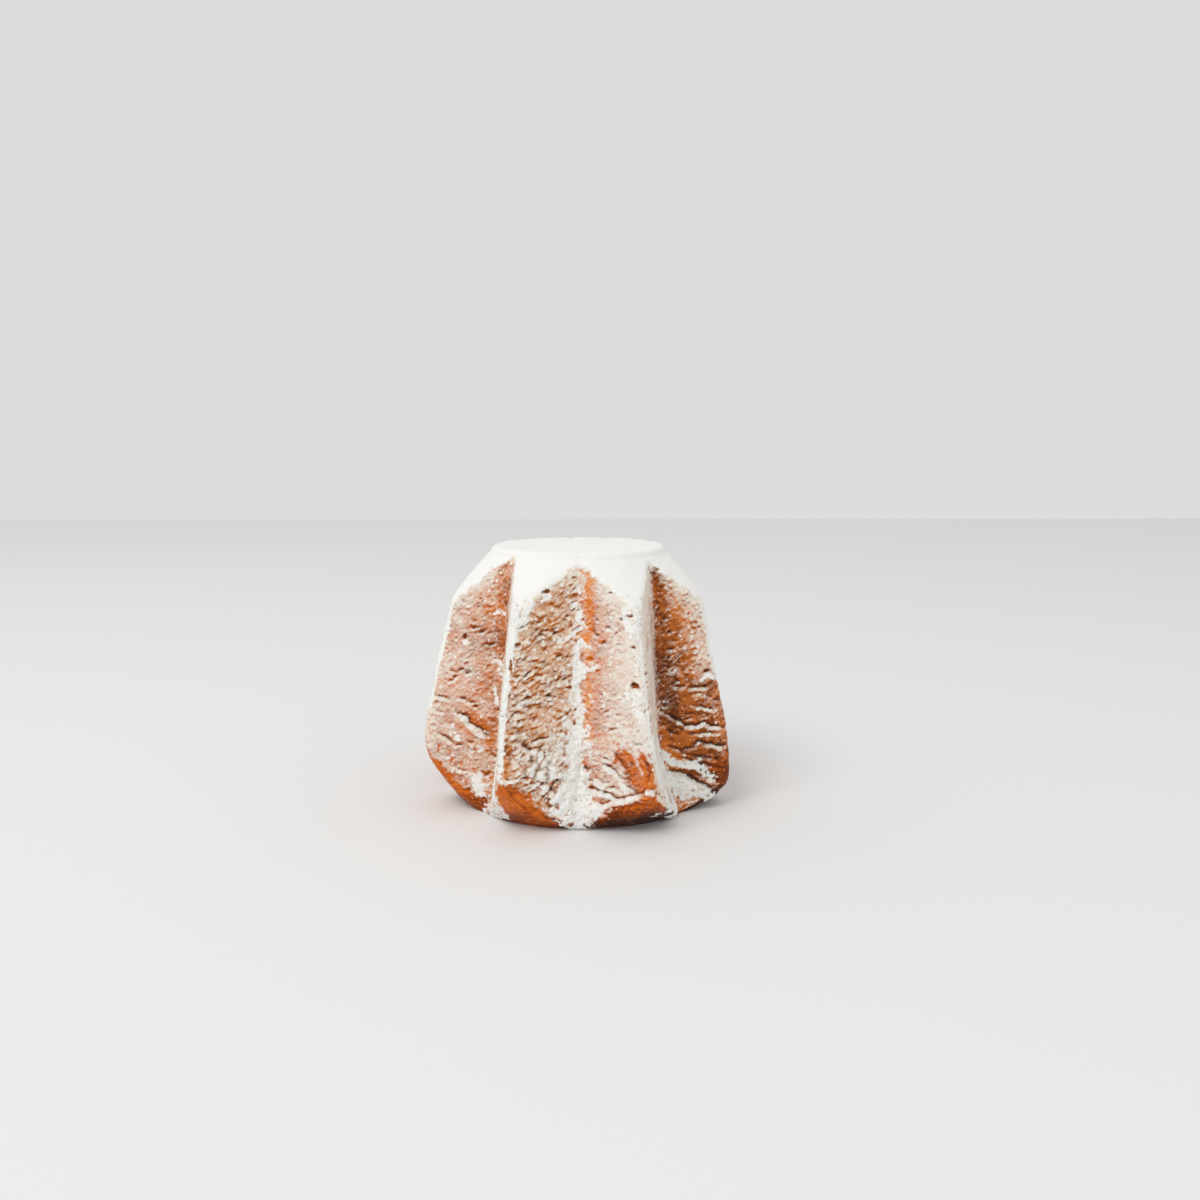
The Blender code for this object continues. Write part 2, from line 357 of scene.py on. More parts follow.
def loafSkin():
    bearings = columnBearings()
    count = len(bearings)
    heights = ringHeights()
    wall = wallPlaces(np.tile(bearings, len(heights)), np.repeat(heights, count))
    rings = [np.arange(i * count, (i + 1) * count) for i in range(len(heights))]
    places, ringBearings = [wall], [np.tile(bearings, len(heights))]
    pointHeights, zones = [np.repeat(heights, count)], [np.zeros(len(wall))]   # 0 wall, 1 top, -1 underside

    def addRing(edge, share, step, height, zone):
        middle = np.array((loaf["axisBow"], 0.0))
        chosen = edge[::step]
        ring = np.column_stack((middle + (chosen[:, :2] - middle) * share, np.full(len(chosen), height)))
        start = sum(len(part) for part in places)
        places.append(ring)
        ringBearings.append(bearings[::step])
        pointHeights.append(np.full(len(ring), height))
        zones.append(np.full(len(ring), zone))
        return np.arange(start, start + len(ring))

    # round the rim on a curve from the bevel's top to the flat top, then in to the middle
    rim, foot = wall[-count:], wall[:count]
    bend, end = loaf["rimBend"]
    topRings = []
    for t in loaf["rimSteps"]:
        share = (1 - t) ** 2 + 2 * t * (1 - t) * bend + t * t * end
        drop = (loaf["height"] - loaf["wallTop"]) * (1 - t) ** 2
        topRings.append(addRing(rim, share, 1, loaf["height"] - drop, 1))
    topRings += [addRing(rim, share, step, loaf["height"], 1) for share, step in capShares(loaf["topBands"])]
    topMiddle = addRing(rim, 0.0, count, loaf["height"], 1)
    footRings = [rings[0]]
    footRings += [addRing(foot, share, step, 0.0, -1) for share, step in capShares(loaf["footBands"])]
    footMiddle = addRing(foot, 0.0, count, 0.0, -1)

    quads, threes = [], []
    rising = rings + topRings
    for lower, upper in zip(rising, rising[1:]):
        four, three = stitch(lower, upper)
        quads.append(four)
        threes.append(three)
    last = topRings[-1]
    threes.append(np.stack((last, np.roll(last, -1), np.repeat(topMiddle, len(last))), axis=1))
    for outer, inner in zip(footRings, footRings[1:]):
        four, three = stitch(outer, inner)
        quads.append(four[:, ::-1])
        threes.append(three[:, ::-1])
    last = footRings[-1]
    threes.append(np.stack((np.roll(last, -1), last, np.repeat(footMiddle, len(last))), axis=1))

    skin = SimpleNamespace()
    skin.places = np.concatenate(places)
    skin.bearing = np.concatenate(ringBearings)
    skin.height = np.concatenate(pointHeights)
    zone = np.concatenate(zones)
    skin.top, skin.under, skin.wall = zone > 0.5, zone < -0.5, np.abs(zone) < 0.5
    skin.quads, skin.threes = np.concatenate(quads), np.concatenate(threes)
    return skin


def normalsOf(skin):
    triangles = np.concatenate((skin.quads[:, (0, 1, 2)], skin.quads[:, (0, 2, 3)], skin.threes))
    a, b, c = (skin.places[triangles[:, i]] for i in range(3))
    across = np.cross(b - a, c - a)
    total = np.zeros_like(skin.places)
    for corner in range(3):
        for axis in range(3):
            total[:, axis] += np.bincount(triangles[:, corner], across[:, axis], len(total))
    return total / np.linalg.norm(total, axis=1)[:, None]


# Lines and spots on the wall are given as (bearing, height in mm)

def linePlaces(line):
    bearing = np.array([point[0] for point in line], float)
    height = np.array([point[1] for point in line], float) / 1000
    return wallPlaces(bearing, height)


def nearLine(places, line, reach):
    # the places within reach of a line: how far away, how far above it, and where along it
    points = linePlaces(line)
    low, high = points.min(axis=0) - reach, points.max(axis=0) + reach
    near = np.flatnonzero(((places > low) & (places < high)).all(axis=1))
    close = places[near]
    away = np.full(len(near), 9.0)
    above = np.zeros(len(near))
    along = np.full(len(near), 0.5)
    pieces = len(points) - 1
    for i, (start, end) in enumerate(zip(points, points[1:] if pieces else points)):
        run = end - start
        share = np.clip(((close - start) @ run) / max(run @ run, 1e-12), 0, 1)
        offset = close - (start + share[:, None] * run)
        distance = np.linalg.norm(offset, axis=1)
        closer = distance < away
        away = np.where(closer, distance, away)
        above = np.where(closer, offset[:, 2], above)
        along = np.where(closer, (i + share) / max(pieces, 1), along)
    return near, away, above, along


# Folds and cracks: line, depth of the groove, height of the lip under it, groove width, lip length, in mm
folds = {
    "lines": (
        # the right front face, where the dough folded as it sank
        (((42, 77.4), (51.3, 71.2), (54.4, 66.7), (56.3, 63.7), (59.7, 63.7), (61.6, 65.6),
          (63.3, 62.5), (66.5, 60.5), (70, 58)), 1.6, 1.4, 1.5, 3.4),
        (((50.2, 49.8), (54.3, 45.6), (56.5, 42.4)), 1.5, 1.4, 1.4, 3.0),
        (((56.2, 46.7), (58.7, 47.8), (59.5, 52), (62, 49.5), (63.8, 48.5), (66, 47.2), (70, 45.3)),
         1.7, 1.5, 1.4, 2.9),
        (((57.6, 42.1), (59.6, 40.3), (61.1, 39.4), (62.6, 39.1), (66, 37.1)), 1.5, 1.6, 1.3, 3.0),
        (((54.2, 41.3), (56.8, 38.1), (59.8, 35.2), (62.8, 33.1), (66.5, 31)), 1.4, 1.6, 1.3, 3.0),
        (((51.7, 37.1), (56.9, 34.7), (60, 33.5), (61.9, 28.7), (65, 24.5)), 1.3, 2.0, 1.4, 5.0),
        (((50.3, 31.5), (54.8, 28.5), (58.6, 24), (62.5, 18.5), (66.5, 11.5)), 2.2, 2.4, 1.5, 8.0),
        (((58.5, 78.2), (61.6, 76.6), (64.5, 73.5)), 0.9, 1.0, 1.2, 2.5),
        (((53, 92), (61, 90.5), (69, 88)), 0.6, 0.8, 1.3, 3.0),
        (((57, 58), (62, 57.5), (69, 54.5)), 1.1, 1.1, 1.2, 2.8),
        (((49, 61), (54, 57.5)), 0.9, 0.9, 1.2, 2.6),
        (((60, 27), (65, 22), (70, 20)), 1.2, 1.3, 1.3, 3.5),
        # the foot of the front right face
        (((4.2, 29.1), (8.5, 29.2), (11.7, 27.2), (14.7, 24.8)), 1.4, 1.5, 1.3, 3.2),
        (((10.8, 48), (13.9, 45), (16.5, 38.8)), 1.0, 0.9, 1.3, 3.5),
        (((17.5, 36), (20.5, 31.5)), 0.8, 0.8, 1.2, 3.0),
        (((14.2, 57.5), (15.7, 52.6), (17.5, 47.9)), 0.8, 0.4, 1.3, 3.0),
        (((8, 36.5), (10.5, 35), (12.5, 36)), 1.0, 1.2, 1.2, 2.8),
        (((11, 31.5), (14, 33), (16, 31)), 0.9, 1.2, 1.2, 2.6),
        (((21.7, 57), (23.2, 52.1), (24, 45.4), (23.1, 38.5)), 0.9, 0.5, 1.2, 3.0),
        (((3, 23), (9.5, 19.5), (14, 24.2), (17.9, 27), (20.6, 30.5), (22.3, 32.2), (23.2, 36), (25, 34.2),
          (28.5, 28), (32, 21)), 0.9, 2.6, 1.3, 9.0),
        # the front left face
        (((-26.6, 148.6), (-24, 147.6), (-21.5, 148.2)), 0.9, 0.8, 1.1, 3.0),
        (((-26.8, 141), (-24.4, 140.2), (-22, 142)), 1.4, 0.5, 1.1, 2.5),
        (((-17.5, 65), (-14.5, 66.5), (-11, 66)), 1.1, 0.4, 1.3, 3.0),
        (((-21, 64), (-19.4, 61), (-17.5, 57)), 1.5, 0.8, 1.2, 2.8),
        (((-15.5, 55), (-16.5, 49)), 1.1, 0.9, 1.2, 2.6),
        (((-24, 84), (-21, 85)), 0.9, 0.3, 1.2, 2.6),
        (((-13, 94), (-10, 92.5)), 1.0, 0.4, 1.2, 2.4),
        (((-18, 109), (-15, 108)), 0.9, 0.3, 1.2, 2.4),
        (((-11, 120), (-8, 121)), 0.9, 0.4, 1.2, 2.4),
        (((-28.5, 43.5), (-25, 40.2), (-21.5, 42.5)), 0.7, 1.5, 1.2, 4.0),
        (((-25.5, 33), (-24, 24), (-20, 15)), 0.9, 0.2, 1.2, 5.0),
        (((-19, 19), (-13, 10), (-7, 5)), 0.9, 0.2, 1.4, 4.0),
        # the left face
        (((-61.5, 71.5), (-59, 70.9), (-57.5, 66.6), (-55.7, 63), (-53.5, 60.6), (-51.2, 57.1)),
         2.1, 1.7, 1.3, 3.6),
        (((-66, 57), (-63.5, 53.5), (-62, 49)), 1.1, 0.6, 1.2, 2.6),
        (((-68, 84), (-64, 81.5)), 0.8, 1.0, 1.2, 2.8),
        (((-70, 74), (-65.5, 72)), 0.8, 0.9, 1.2, 2.8),
        (((-63, 32.5), (-58.5, 29)), 0.6, 1.0, 1.2, 3.0),
        # the sides and back
        (((90, 54), (97, 51), (104, 56), (112, 58)), 1.6, 1.0, 1.4, 2.8),
        (((94, 30), (103, 33), (113, 34)), 1.6, 1.0, 1.4, 3.1),
        (((92, 43), (98, 41.5), (104, 43)), 1.3, 0.7, 1.3, 2.2),
        (((113, 22), (119, 17), (126, 18)), 1.3, 1.1, 1.3, 4.9),
        (((117, 71), (124, 66), (131, 62)), 1.4, 0.8, 1.3, 2.5),
        (((116, 54), (123, 51)), 1.2, 0.7, 1.3, 2.2),
        (((114, 112), (119, 110)), 1.0, 0.6, 1.3, 2.1),
        (((137, 40), (146, 45), (155, 48)), 1.6, 0.9, 1.4, 2.9),
        (((138, 30), (147, 33), (153, 38)), 1.2, 0.8, 1.3, 2.4),
        (((143, 86), (149, 83)), 1.0, 0.6, 1.2, 2.1),
        (((159, 88), (165, 84), (172, 82)), 1.4, 0.8, 1.3, 2.5),
        (((161, 33), (166, 31), (171, 32)), 1.2, 0.6, 1.3, 2.6),
        (((164, 118), (169, 120)), 0.9, 0.6, 1.2, 2.0),
        (((184, 52), (192, 49), (200, 44)), 1.6, 0.9, 1.4, 2.8),
        (((186, 40), (193, 37), (199, 35)), 1.2, 0.7, 1.3, 2.2),
        (((190, 96), (197, 92)), 1.0, 0.7, 1.3, 2.2),
        (((205, 33), (211, 31), (216, 34)), 1.6, 1.0, 1.4, 3.5),
        (((207, 74), (214, 70)), 1.2, 0.7, 1.3, 2.2),
        (((228, 64), (236, 69), (243, 72)), 1.4, 0.8, 1.4, 2.8),
        (((232, 37), (236, 35), (241, 36.5)), 1.2, 0.9, 1.4, 3.5),
        (((229, 50), (237, 53)), 1.1, 0.7, 1.3, 2.2),
        (((249, 29), (254, 27), (259, 28.5)), 1.6, 1.1, 1.4, 4.2),
        (((251, 58), (258, 55), (264, 57)), 1.3, 0.8, 1.3, 2.4),
        (((252, 100), (258, 104)), 1.0, 0.6, 1.3, 2.1),
        (((270, 60), (279, 55), (286, 54)), 1.4, 0.8, 1.3, 2.5),
        (((273, 36), (281, 33)), 1.2, 0.8, 1.3, 2.5),
        (((275, 120), (280, 117)), 1.0, 0.6, 1.2, 2.0),
    ),
    "wander": 0.0010,                         # how far a fold strays from its line, in m
    "waver": (0.25, 1.6),                     # least and most share of a lip's height
    "sugared": 0.78,                          # how thickly a fold's lip is sugared
    "sugaredShare": 0.62,                     # along how much of its length
    "sugaredReach": (0.0005, 0.0006, 0.0005),   # how far over it, in m: at least, more, and more on high lips
    # short cracks everywhere: how many, half length, depth, lip, width, lip length
    "short": (300, (1.2, 3.0), (0.6, 1.2), (0.05, 0.45), (0.85, 1.1), (1.6, 2.6)),
    "seed": 23,
}

# Holes torn in the crust: bearing, height, half width, half height, depth, in mm
holes = (
    (-15.6, 163.3, 2.5, 1.5, 2.3), (21.5, 148.4, 2.5, 1.3, 2.0), (15.1, 163.2, 1.5, 1.0, 1.1),
    (21.3, 102.4, 3.1, 2.3, 2.4), (21.9, 128, 1.9, 1.1, 1.3), (-62.3, 127.0, 1.2, 2.3, 1.7),
    (-25.4, 116.2, 1.5, 5.0, 1.3), (64.4, 101.5, 2.2, 1.8, 2.0), (6.2, 117.5, 2.4, 1.6, 1.1),
    (-56, 78, 1.6, 1.2, 1.3), (98, 120, 2.4, 1.6, 2.0), (103, 84, 2.8, 1.8, 2.2), (122, 132, 1.9, 1.4, 1.5),
    (150, 108, 2.6, 1.8, 2.1), (147, 64, 2.0, 1.5, 1.5), (176, 140, 2.2, 1.4, 1.6), (170, 62, 2.8, 1.9, 2.2),
    (193, 122, 2.4, 1.7, 1.9), (216, 104, 2.8, 1.9, 2.2), (209, 52, 1.9, 1.4, 1.5), (234, 120, 2.2, 1.6, 1.7),
    (239, 46, 2.6, 1.8, 2.0), (260, 74, 2.6, 1.9, 2.1), (281, 92, 2.2, 1.6, 1.7), (276, 148, 1.8, 1.3, 1.3),
)

# Crust relief between the folds: spacing and height in mm, and of the scattered ones the share of cells taken
crustRelief = {
    "swells": (13.0, 0.50),
    "lumps": (5.6, 0.32),
    "grain": (2.4, 0.26),
    "blisters": (3.8, 0.66, 0.66),
    "craters": (7.4, 0.60, 0.52),
    "pits": (3.7, 0.85, 0.26),
    "heelWrinkles": (0.35, 3.4, 12.0),  # height, spacing up the wall, spacing along it
    "powder": (5.2, 0.9),               # the lumpy drift on the front left foot
    # how rough each half face is, from the front left ridge round to the right
    "roughness": (1.20, 0.55, 0.30, 0.75, 0.60, 0.70, 1.1, 0.6, 1.15, 0.65, 1.0, 0.6, 1.1, 0.7, 0.46, 0.32),
}


def addFolds(skin, relief):
    # cuts each groove and raises the lip under it; gives where the lips carry sugar
    waver = np.clip(1 + uneven(skin.base, "foldWaver"), *folds["waver"])
    gaps = np.clip(folds["sugaredShare"] + uneven(skin.base, "foldGaps"), 0, 1.15)
    ledge = np.zeros(len(relief))
    dice = random.Random(folds["seed"])
    lines = list(folds["lines"])
    count, *spans = folds["short"]
    for _ in range(count):
        # short ones lie level within some 25 degrees
        bearing, height = dice.uniform(0, 360), dice.uniform(18, 155)
        half, groove, lip, width, length = (dice.uniform(*span) for span in spans)
        turn = math.radians(dice.gauss(0, 22))
        side, rise = math.degrees(half * math.cos(turn) / 95), half * math.sin(turn)
        bend = dice.gauss(0, 0.6)
        line = ((bearing - side, height - rise), (bearing, height + bend), (bearing + side, height + rise))
        lines.append((line, groove, lip, width, length))
    over, overMore, overLip = folds["sugaredReach"]
    for line, groove, lip, width, length in lines:
        near, away, above, along = nearLine(skin.warped, line, 0.002 + 0.0022 * length)
        side = np.where(above > 0, away, -away)
        fade = np.clip(np.sin(np.pi * (0.04 + 0.92 * along)), 0, 1) ** 0.6
        cut = np.exp(-((side / (width / 1000)) ** 2))
        shelf = np.where(side < 0, (1 - cut) * np.exp(-((side / (length / 1000)) ** 2)), 0)
        relief[near] += fade * (lip * waver[near] * shelf - groove * cut) / 1000
        reach = over + (overMore + overLip * lip) * np.clip(gaps[near] * 1.4 - 0.35, 0, 1.4)
        lying = ramp(0.0001, -0.0006, side) * ramp(-reach - 0.0006, -reach + 0.0003, side)
        ledge[near] = np.maximum(ledge[near], fade * gaps[near] * lying * min(1.0, 1.3 * lip - 0.2))
    return ledge


def holeReach(warped, hole):
    # 1 at a hole's edge
    middle = linePlaces((hole[:2],))[0]
    offset = warped - middle
    return np.hypot(np.hypot(offset[:, 0], offset[:, 1]) / hole[2], offset[:, 2] / hole[3]) * 1000


# Where the sugar lies: (line, half width in mm, amount)
heaps = {
    "lines": (
        # down the front valley
        (((-0.1, 164), (-0.1, 159)), 1.4, 0.9),
        (((-2.3, 154.5), (1.4, 149), (-0.7, 144)), 1.6, 0.9),
        (((-5.7, 131), (-1.2, 136), (3, 140.5)), 1.7, 1.0),
        (((-1.7, 127), (2.4, 128.4), (6.2, 125.5)), 2.0, 0.9),
        (((-0.7, 123.7), (-0.2, 111.4), (-1.3, 96.6)), 3.1, 1.0),
        (((2, 109), (5, 111), (9, 113.5)), 1.5, 0.85), (((-1.5, 115), (2, 108)), 4.2, 0.95),
        (((-3.5, 92), (-1.5, 88)), 2.8, 0.85), (((-4.5, 74), (-2, 68)), 3.4, 0.85),
        (((-0.3, 96.5), (0.7, 86.3), (0.2, 69.2), (-1.8, 59.2)), 3.5, 1.0),
        (((0.2, 69), (-2.7, 49), (-2.7, 35)), 6.2, 0.95),
        (((-2.7, 35), (-0.9, 21), (-0.4, 5)), 10.5, 1.1),
        (((-7.9, 60.5), (-11, 51), (-13.5, 41.5)), 6.0, 0.55),
        (((-5.3, 29), (-7.7, 19.5), (-9.3, 13)), 6.5, 0.8),
        (((1, 12), (7.5, 16)), 4.8, 0.95),
        # the ends of the two white tongues
        (((-26.8, 156), (-26.5, 147.5)), 3.6, 1.0), (((-22, 156), (-23, 149.5)), 3.4, 1.0),
        (((-26.5, 144.8), (-22.8, 144.6)), 2.2, 1.0),
        (((24.3, 155), (24.0, 139)), 2.6, 1.0), (((20.5, 154), (21, 151.5)), 2.6, 1.0),
        (((20.5, 145), (25, 141)), 3.0, 1.0), (((21.5, 139), (23.5, 134)), 2.4, 0.7),
        (((24.4, 138), (24.4, 112)), 1.6, 0.6),
        (((24, 100), (24.2, 62)), 1.5, 0.45),
        # down the right front ridge's shaded side
        (((27, 66), (28.5, 40), (30, 12)), 3.6, 1.0), (((34, 60), (35, 40), (37, 14)), 4.2, 0.95),
        # under the holes
        (((-16.5, 159.8), (-14.3, 160.6)), 1.7, 1.0),
        (((19.6, 97.5), (22.6, 96.6), (21, 92.5)), 2.8, 1.0),
        (((-62.6, 123), (-61.4, 122)), 1.6, 0.9),
        (((63.3, 96.5), (65.5, 97.5)), 1.9, 0.9),
        # the left face
        (((-59.5, 67), (-57.6, 63)), 1.9, 0.8), (((-55.5, 59.5), (-53.5, 57)), 2.1, 0.85),
        (((-52, 60),), 1.6, 0.8), (((-51, 146), (-47, 143.5)), 1.5, 0.8),
        (((-50.2, 109.5), (-47.8, 108.5), (-48.8, 102.5)), 1.8, 0.95),
        (((-49.9, 92), (-48.3, 81)), 1.6, 0.85),
        (((-60.5, 54),), 2.6, 0.9), (((-53.5, 48),), 2.4, 0.8), (((-64, 39),), 2.0, 0.8),
        (((-57, 39),), 2.0, 0.6), (((-63.5, 30),), 2.4, 0.8), (((-58.5, 27.5),), 2.2, 0.7),
        (((-56.5, 27), (-55.5, 14), (-54, 3)), 3.4, 0.95),
        (((-32, 46), (-34, 24), (-37, 5)), 4.6, 1.0),
        (((-70, 152), (-71.5, 120), (-71, 84)), 3.2, 0.8),
        # the right valley's foot, where it spread over the heel
        (((47, 45), (51, 38), (55, 36.0), (60, 33.6), (62.5, 28.0), (64.5, 24)), 2.2, 1.0),
        (((47, 30), (50, 27), (54, 22.5), (58, 17.5), (62, 12.5), (65.5, 8)), 3.6, 1.0),
        (((38, 48), (42, 36), (46, 22), (45, 9)), 6.5, 1.05),
        (((31, 46), (33, 30), (35, 18)), 5.0, 0.95),
        (((52, 16), (57, 12)), 4.0, 0.9),
        (((43.5, 170), (44, 150), (44.3, 122)), 1.3, 0.42),
        # the front left face
        (((-9, 131), (-5, 127)), 1.7, 0.6), (((-22, 90), (-15, 93)), 1.6, 0.6),
        (((-14, 60), (-11, 66)), 2.6, 0.5), (((-19, 46), (-15, 40)), 3.0, 0.6),
        (((-28.5, 42), (-25, 38.6), (-22, 40.5)), 1.3, 0.9),
        # lower front right face
        (((6.5, 27), (12, 26)), 2.2, 0.7), (((11.4, 45.5), (13.2, 43)), 1.8, 0.7),
        (((5, 62), (6, 52)), 2.4, 0.5),
        (((16.2, 35.5), (18, 32.5)), 1.7, 0.8), (((12.2, 52.5),), 1.4, 0.6), (((8, 36), (11, 35)), 2.2, 0.5),
        (((22.6, 137), (22.8, 108)), 3.4, 0.44), (((22.8, 96), (23.2, 66)), 3.0, 0.42),
        (((4.5, 112), (8, 111)), 1.6, 0.6), (((21, 118), (23, 115)), 2.2, 0.55),
        (((20.5, 87), (23, 84)), 2.2, 0.6),
        (((7, 91),), 1.8, 0.5), (((14, 121),), 1.8, 0.5), (((12, 74),), 2.0, 0.5), (((18.5, 72),), 2.2, 0.55),
    ),
    # even bands along ridges
    "bands": (
        (((-27.0, 152), (-26.6, 116)), 3.4, 0.92),
        (((-26.7, 118), (-26.6, 90), (-26.8, 50), (-27.6, 28)), 2.5, 0.92),
        (((-28.0, 34), (-30, 22), (-32.5, 8)), 3.2, 0.92),
        (((24.2, 152), (24.6, 110), (24.8, 60)), 1.3, 0.70),
        (((-69.6, 152), (-69.6, 110)), 2.8, 0.90), (((-69.6, 112), (-69.8, 76)), 2.3, 0.78),
        (((67.2, 152), (67.4, 118), (67.6, 96)), 2.2, 0.74),
    ),
    # on the ridges at the sides and back a band dissolves on its way down: top and foot in mm, then as above
    "fadingRidges": (111.5, 156, 200.5, 245.5, 290),
    "fadingBand": ((158, 132, 2.6, 0.85), (134, 112, 2.0, 0.60), (114, 90, 1.7, 0.50), (92, 64, 1.5, 0.43)),
    # the other valleys each hold a streak: bearing, width at the top and at the foot in mm, amount
    "valleyStreaks": (
        (90, 3.0, 12.0, 1.0), (134, 2.2, 8.5, 1.0), (178.5, 3.6, 13.5, 1.0),
        (223, 2.4, 9.5, 1.0), (268, 3.2, 12.0, 1.0), (315, 1.2, 6.0, 0.8),
    ),
    "powdery": ((((-17, 50), (-12, 36), (-8, 22)), 11, 1.0), (((-2, 60), (-1, 12)), 9, 0.8)),   # lumpy drifts
    "powderyTaken": 0.84,           # share of their lumps that are there
    "wander": 0.0018,               # how far the sugar's edges stray from their lines, in m
    "quiver": 0.0014,
    "patches": (5.0, 0.34, 0.26),   # loose patches: spacing in mm, share of cells taken, radius in spacings
    "streakMound": 0.35,            # how much of a mound the valleys' streaks are
    "layerMm": (0.30, 0.15),        # how thick even sugar lies, and how much clumps change that
    "moundMm": 1.6,                 # how high the thickest drifts stand
    "moundWidths": (2.6, 7.0),      # half widths in mm from which a drift stands up at all, and that high
}

# Where the crust shows more than around it: (line, half width in mm, amount)
bareLines = (
    (((5.2, 174), (6.0, 157)), 3.0, 0.80), (((6.0, 159), (6.6, 141), (5.0, 130.6)), 3.6, 0.68),
    (((8.0, 172), (9.5, 140), (8.5, 112)), 8.0, 0.26),
    (((7, 119.6), (5.5, 117)), 2.4, 0.8), (((9, 150), (11, 128)), 4.0, 0.18),
    (((5.0, 102), (5.6, 97), (4.6, 80), (5.4, 66)), 3.4, 0.52), (((7.5, 100), (8, 66)), 8.0, 0.22),
    (((-52, 176), (-47, 160), (-46.5, 140), (-48, 122)), 6.5, 0.66), (((-49, 112), (-48.5, 84)), 4.0, 0.28),
    (((49.5, 173), (50.5, 155), (50.5, 135)), 4.0, 0.75),
    (((51, 125), (50, 100), (51, 84)), 3.6, 0.45),
    (((-25.4, 121), (-25.4, 111.5)), 1.7, 1.0),
    (((17, 55), (19.5, 46), (21.5, 38), (22.5, 31)), 6.5, 0.92),
    (((22, 56), (23.5, 46), (24, 38)), 4.6, 1.0),
    (((52, 54), (58, 46), (66, 34)), 12.0, 0.9),
    (((49, 88), (58, 74)), 8.0, 0.55),
    (((66, 92), (67.5, 70), (69, 48), (68, 30)), 6.5, 0.75),
    (((-25.0, 67), (-24.6, 56), (-25.2, 46)), 3.2, 0.85),
    (((-19.5, 62.5),), 2.6, 0.5),
    (((-55, 69), (-52.0, 63), (-50, 56)), 4.0, 0.75),
    (((-16, 155), (-10, 168)), 3.0, 0.4),
    (((98, 172), (96, 150)), 3.0, 0.6), (((84, 168), (84, 140)), 2.6, 0.5),
    (((111, 66), (111, 40)), 4.0, 0.6),
    (((140, 170), (140, 148)), 3.2, 0.6), (((152, 60), (156, 40)), 4.5, 0.5),
    (((172, 170), (173, 150)), 2.6, 0.5), (((186, 172), (185, 148)), 3.0, 0.6),
    (((200, 84), (201, 46)), 4.0, 0.5), (((217, 170), (218, 146)), 3.0, 0.5),
    (((230, 172), (229, 150)), 3.0, 0.6), (((246, 70), (245, 44)), 4.5, 0.6),
    (((262, 170), (263, 148)), 3.0, 0.5),
)

# Where the veil is thicker, and where the crust is browner or paler: (line, half width in mm, amount)
touches = {
    "dusted": ((((61, 165), (66, 140), (67, 112)), 9, 0.30),),
    "brown": ((((50, 176), (51, 150), (50, 110), (50, 70)), 9, 0.18),),
    "pale": ((((5, 174), (5.5, 140), (5, 100), (5, 64)), 4, 0.28),),
    # browner along the front heel's foot: partly its own baking and partly painted shade
    "brownHeel": ((((4, 4), (14, 10), (24, 12), (34, 6)), 9, 0.30),),
    "brownFolds": ((((50, 100), (56, 70), (60, 45), (66, 25)), 16, 0.12),),
}

# The bare heel reaches higher here: (line, half width in mm)
heelRises = (
    (((-25.0, 30), (-23.5, 22), (-20, 12)), 8.5), (((-18.5, 13), (-14.5, 5)), 4.6),
    (((9, 5), (14, 12), (20, 21), (24, 24), (28, 16)), 5.6), (((66, 30), (69, 22)), 7.0),
    (((-62, 14), (-66, 24), (-70, 34)), 5.0),
    (((111.5, 27), (110, 12)), 11.0), (((102, 13), (98, 6)), 6.0), (((119, 12), (124, 5)), 6.0),
    (((156, 31), (157, 12)), 12.0), (((147, 13), (142, 6)), 6.0), (((166, 12), (170, 6)), 6.0),
    (((200.5, 34), (199, 14)), 12.0), (((190, 14), (186, 6)), 6.5), (((209, 15), (214, 6)), 7.0),
    (((245.5, 30), (247, 12)), 11.0), (((236, 12), (231, 5)), 6.0), (((254, 13), (259, 6)), 6.5),
    (((290, 28), (289, 12)), 11.0), (((281, 13), (276, 6)), 6.0), (((298, 13), (303, 5)), 5.0),
)

# How dusted each half face is at its start, middle and end, from the front left ridge round to the right
faceDust = (
    (0.50, 0.38, 0.44), (0.26, 0.66, 0.86), (0.80, 0.80, 0.36), (0.04, 0.14, 0.42),
    (0.62, 0.40, 0.24), (0.16, 0.40, 0.66), (0.78, 0.60, 0.26), (0.20, 0.36, 0.60),
    (0.66, 0.46, 0.22), (0.14, 0.34, 0.62), (0.76, 0.56, 0.28), (0.18, 0.40, 0.64),
    (0.68, 0.48, 0.20), (0.16, 0.52, 0.80), (0.64, 0.37, 0.33), (0.60, 0.80, 0.84),
)

# How frothy each half face's crust is, in the same order: full of small bubbles, paler and yellower
faceFroth = (
    (0.85, 1.00, 0.80), (0.10, 0.00, 0.00), (0.40, 0.40, 0.30), (0.60, 0.70, 0.45),
    (0.10, 0.30, 0.20), (0.70, 0.80, 0.40), (0.20, 0.10, 0.10), (0.60, 0.70, 0.50),
    (0.20, 0.30, 0.10), (0.50, 0.60, 0.30), (0.10, 0.20, 0.10), (0.70, 0.90, 0.60),
    (0.20, 0.20, 0.10), (0.60, 0.70, 0.30), (0.10, 0.25, 0.55), (0.20, 0.20, 0.20),
)


def strokes(places, lines, ragged):
    # the strongest of the strokes at each place, ragged at its edge
    cover = np.zeros(len(places))
    for line, halfWidth, amount in lines:
        near, away, above, along = nearLine(places, line, 0.0022 * halfWidth + 0.001)
        inside = amount * ramp(1.45, 0.55, away / (halfWidth / 1000) * ragged[near])
        cover[near] = np.maximum(cover[near], inside)
    return cover


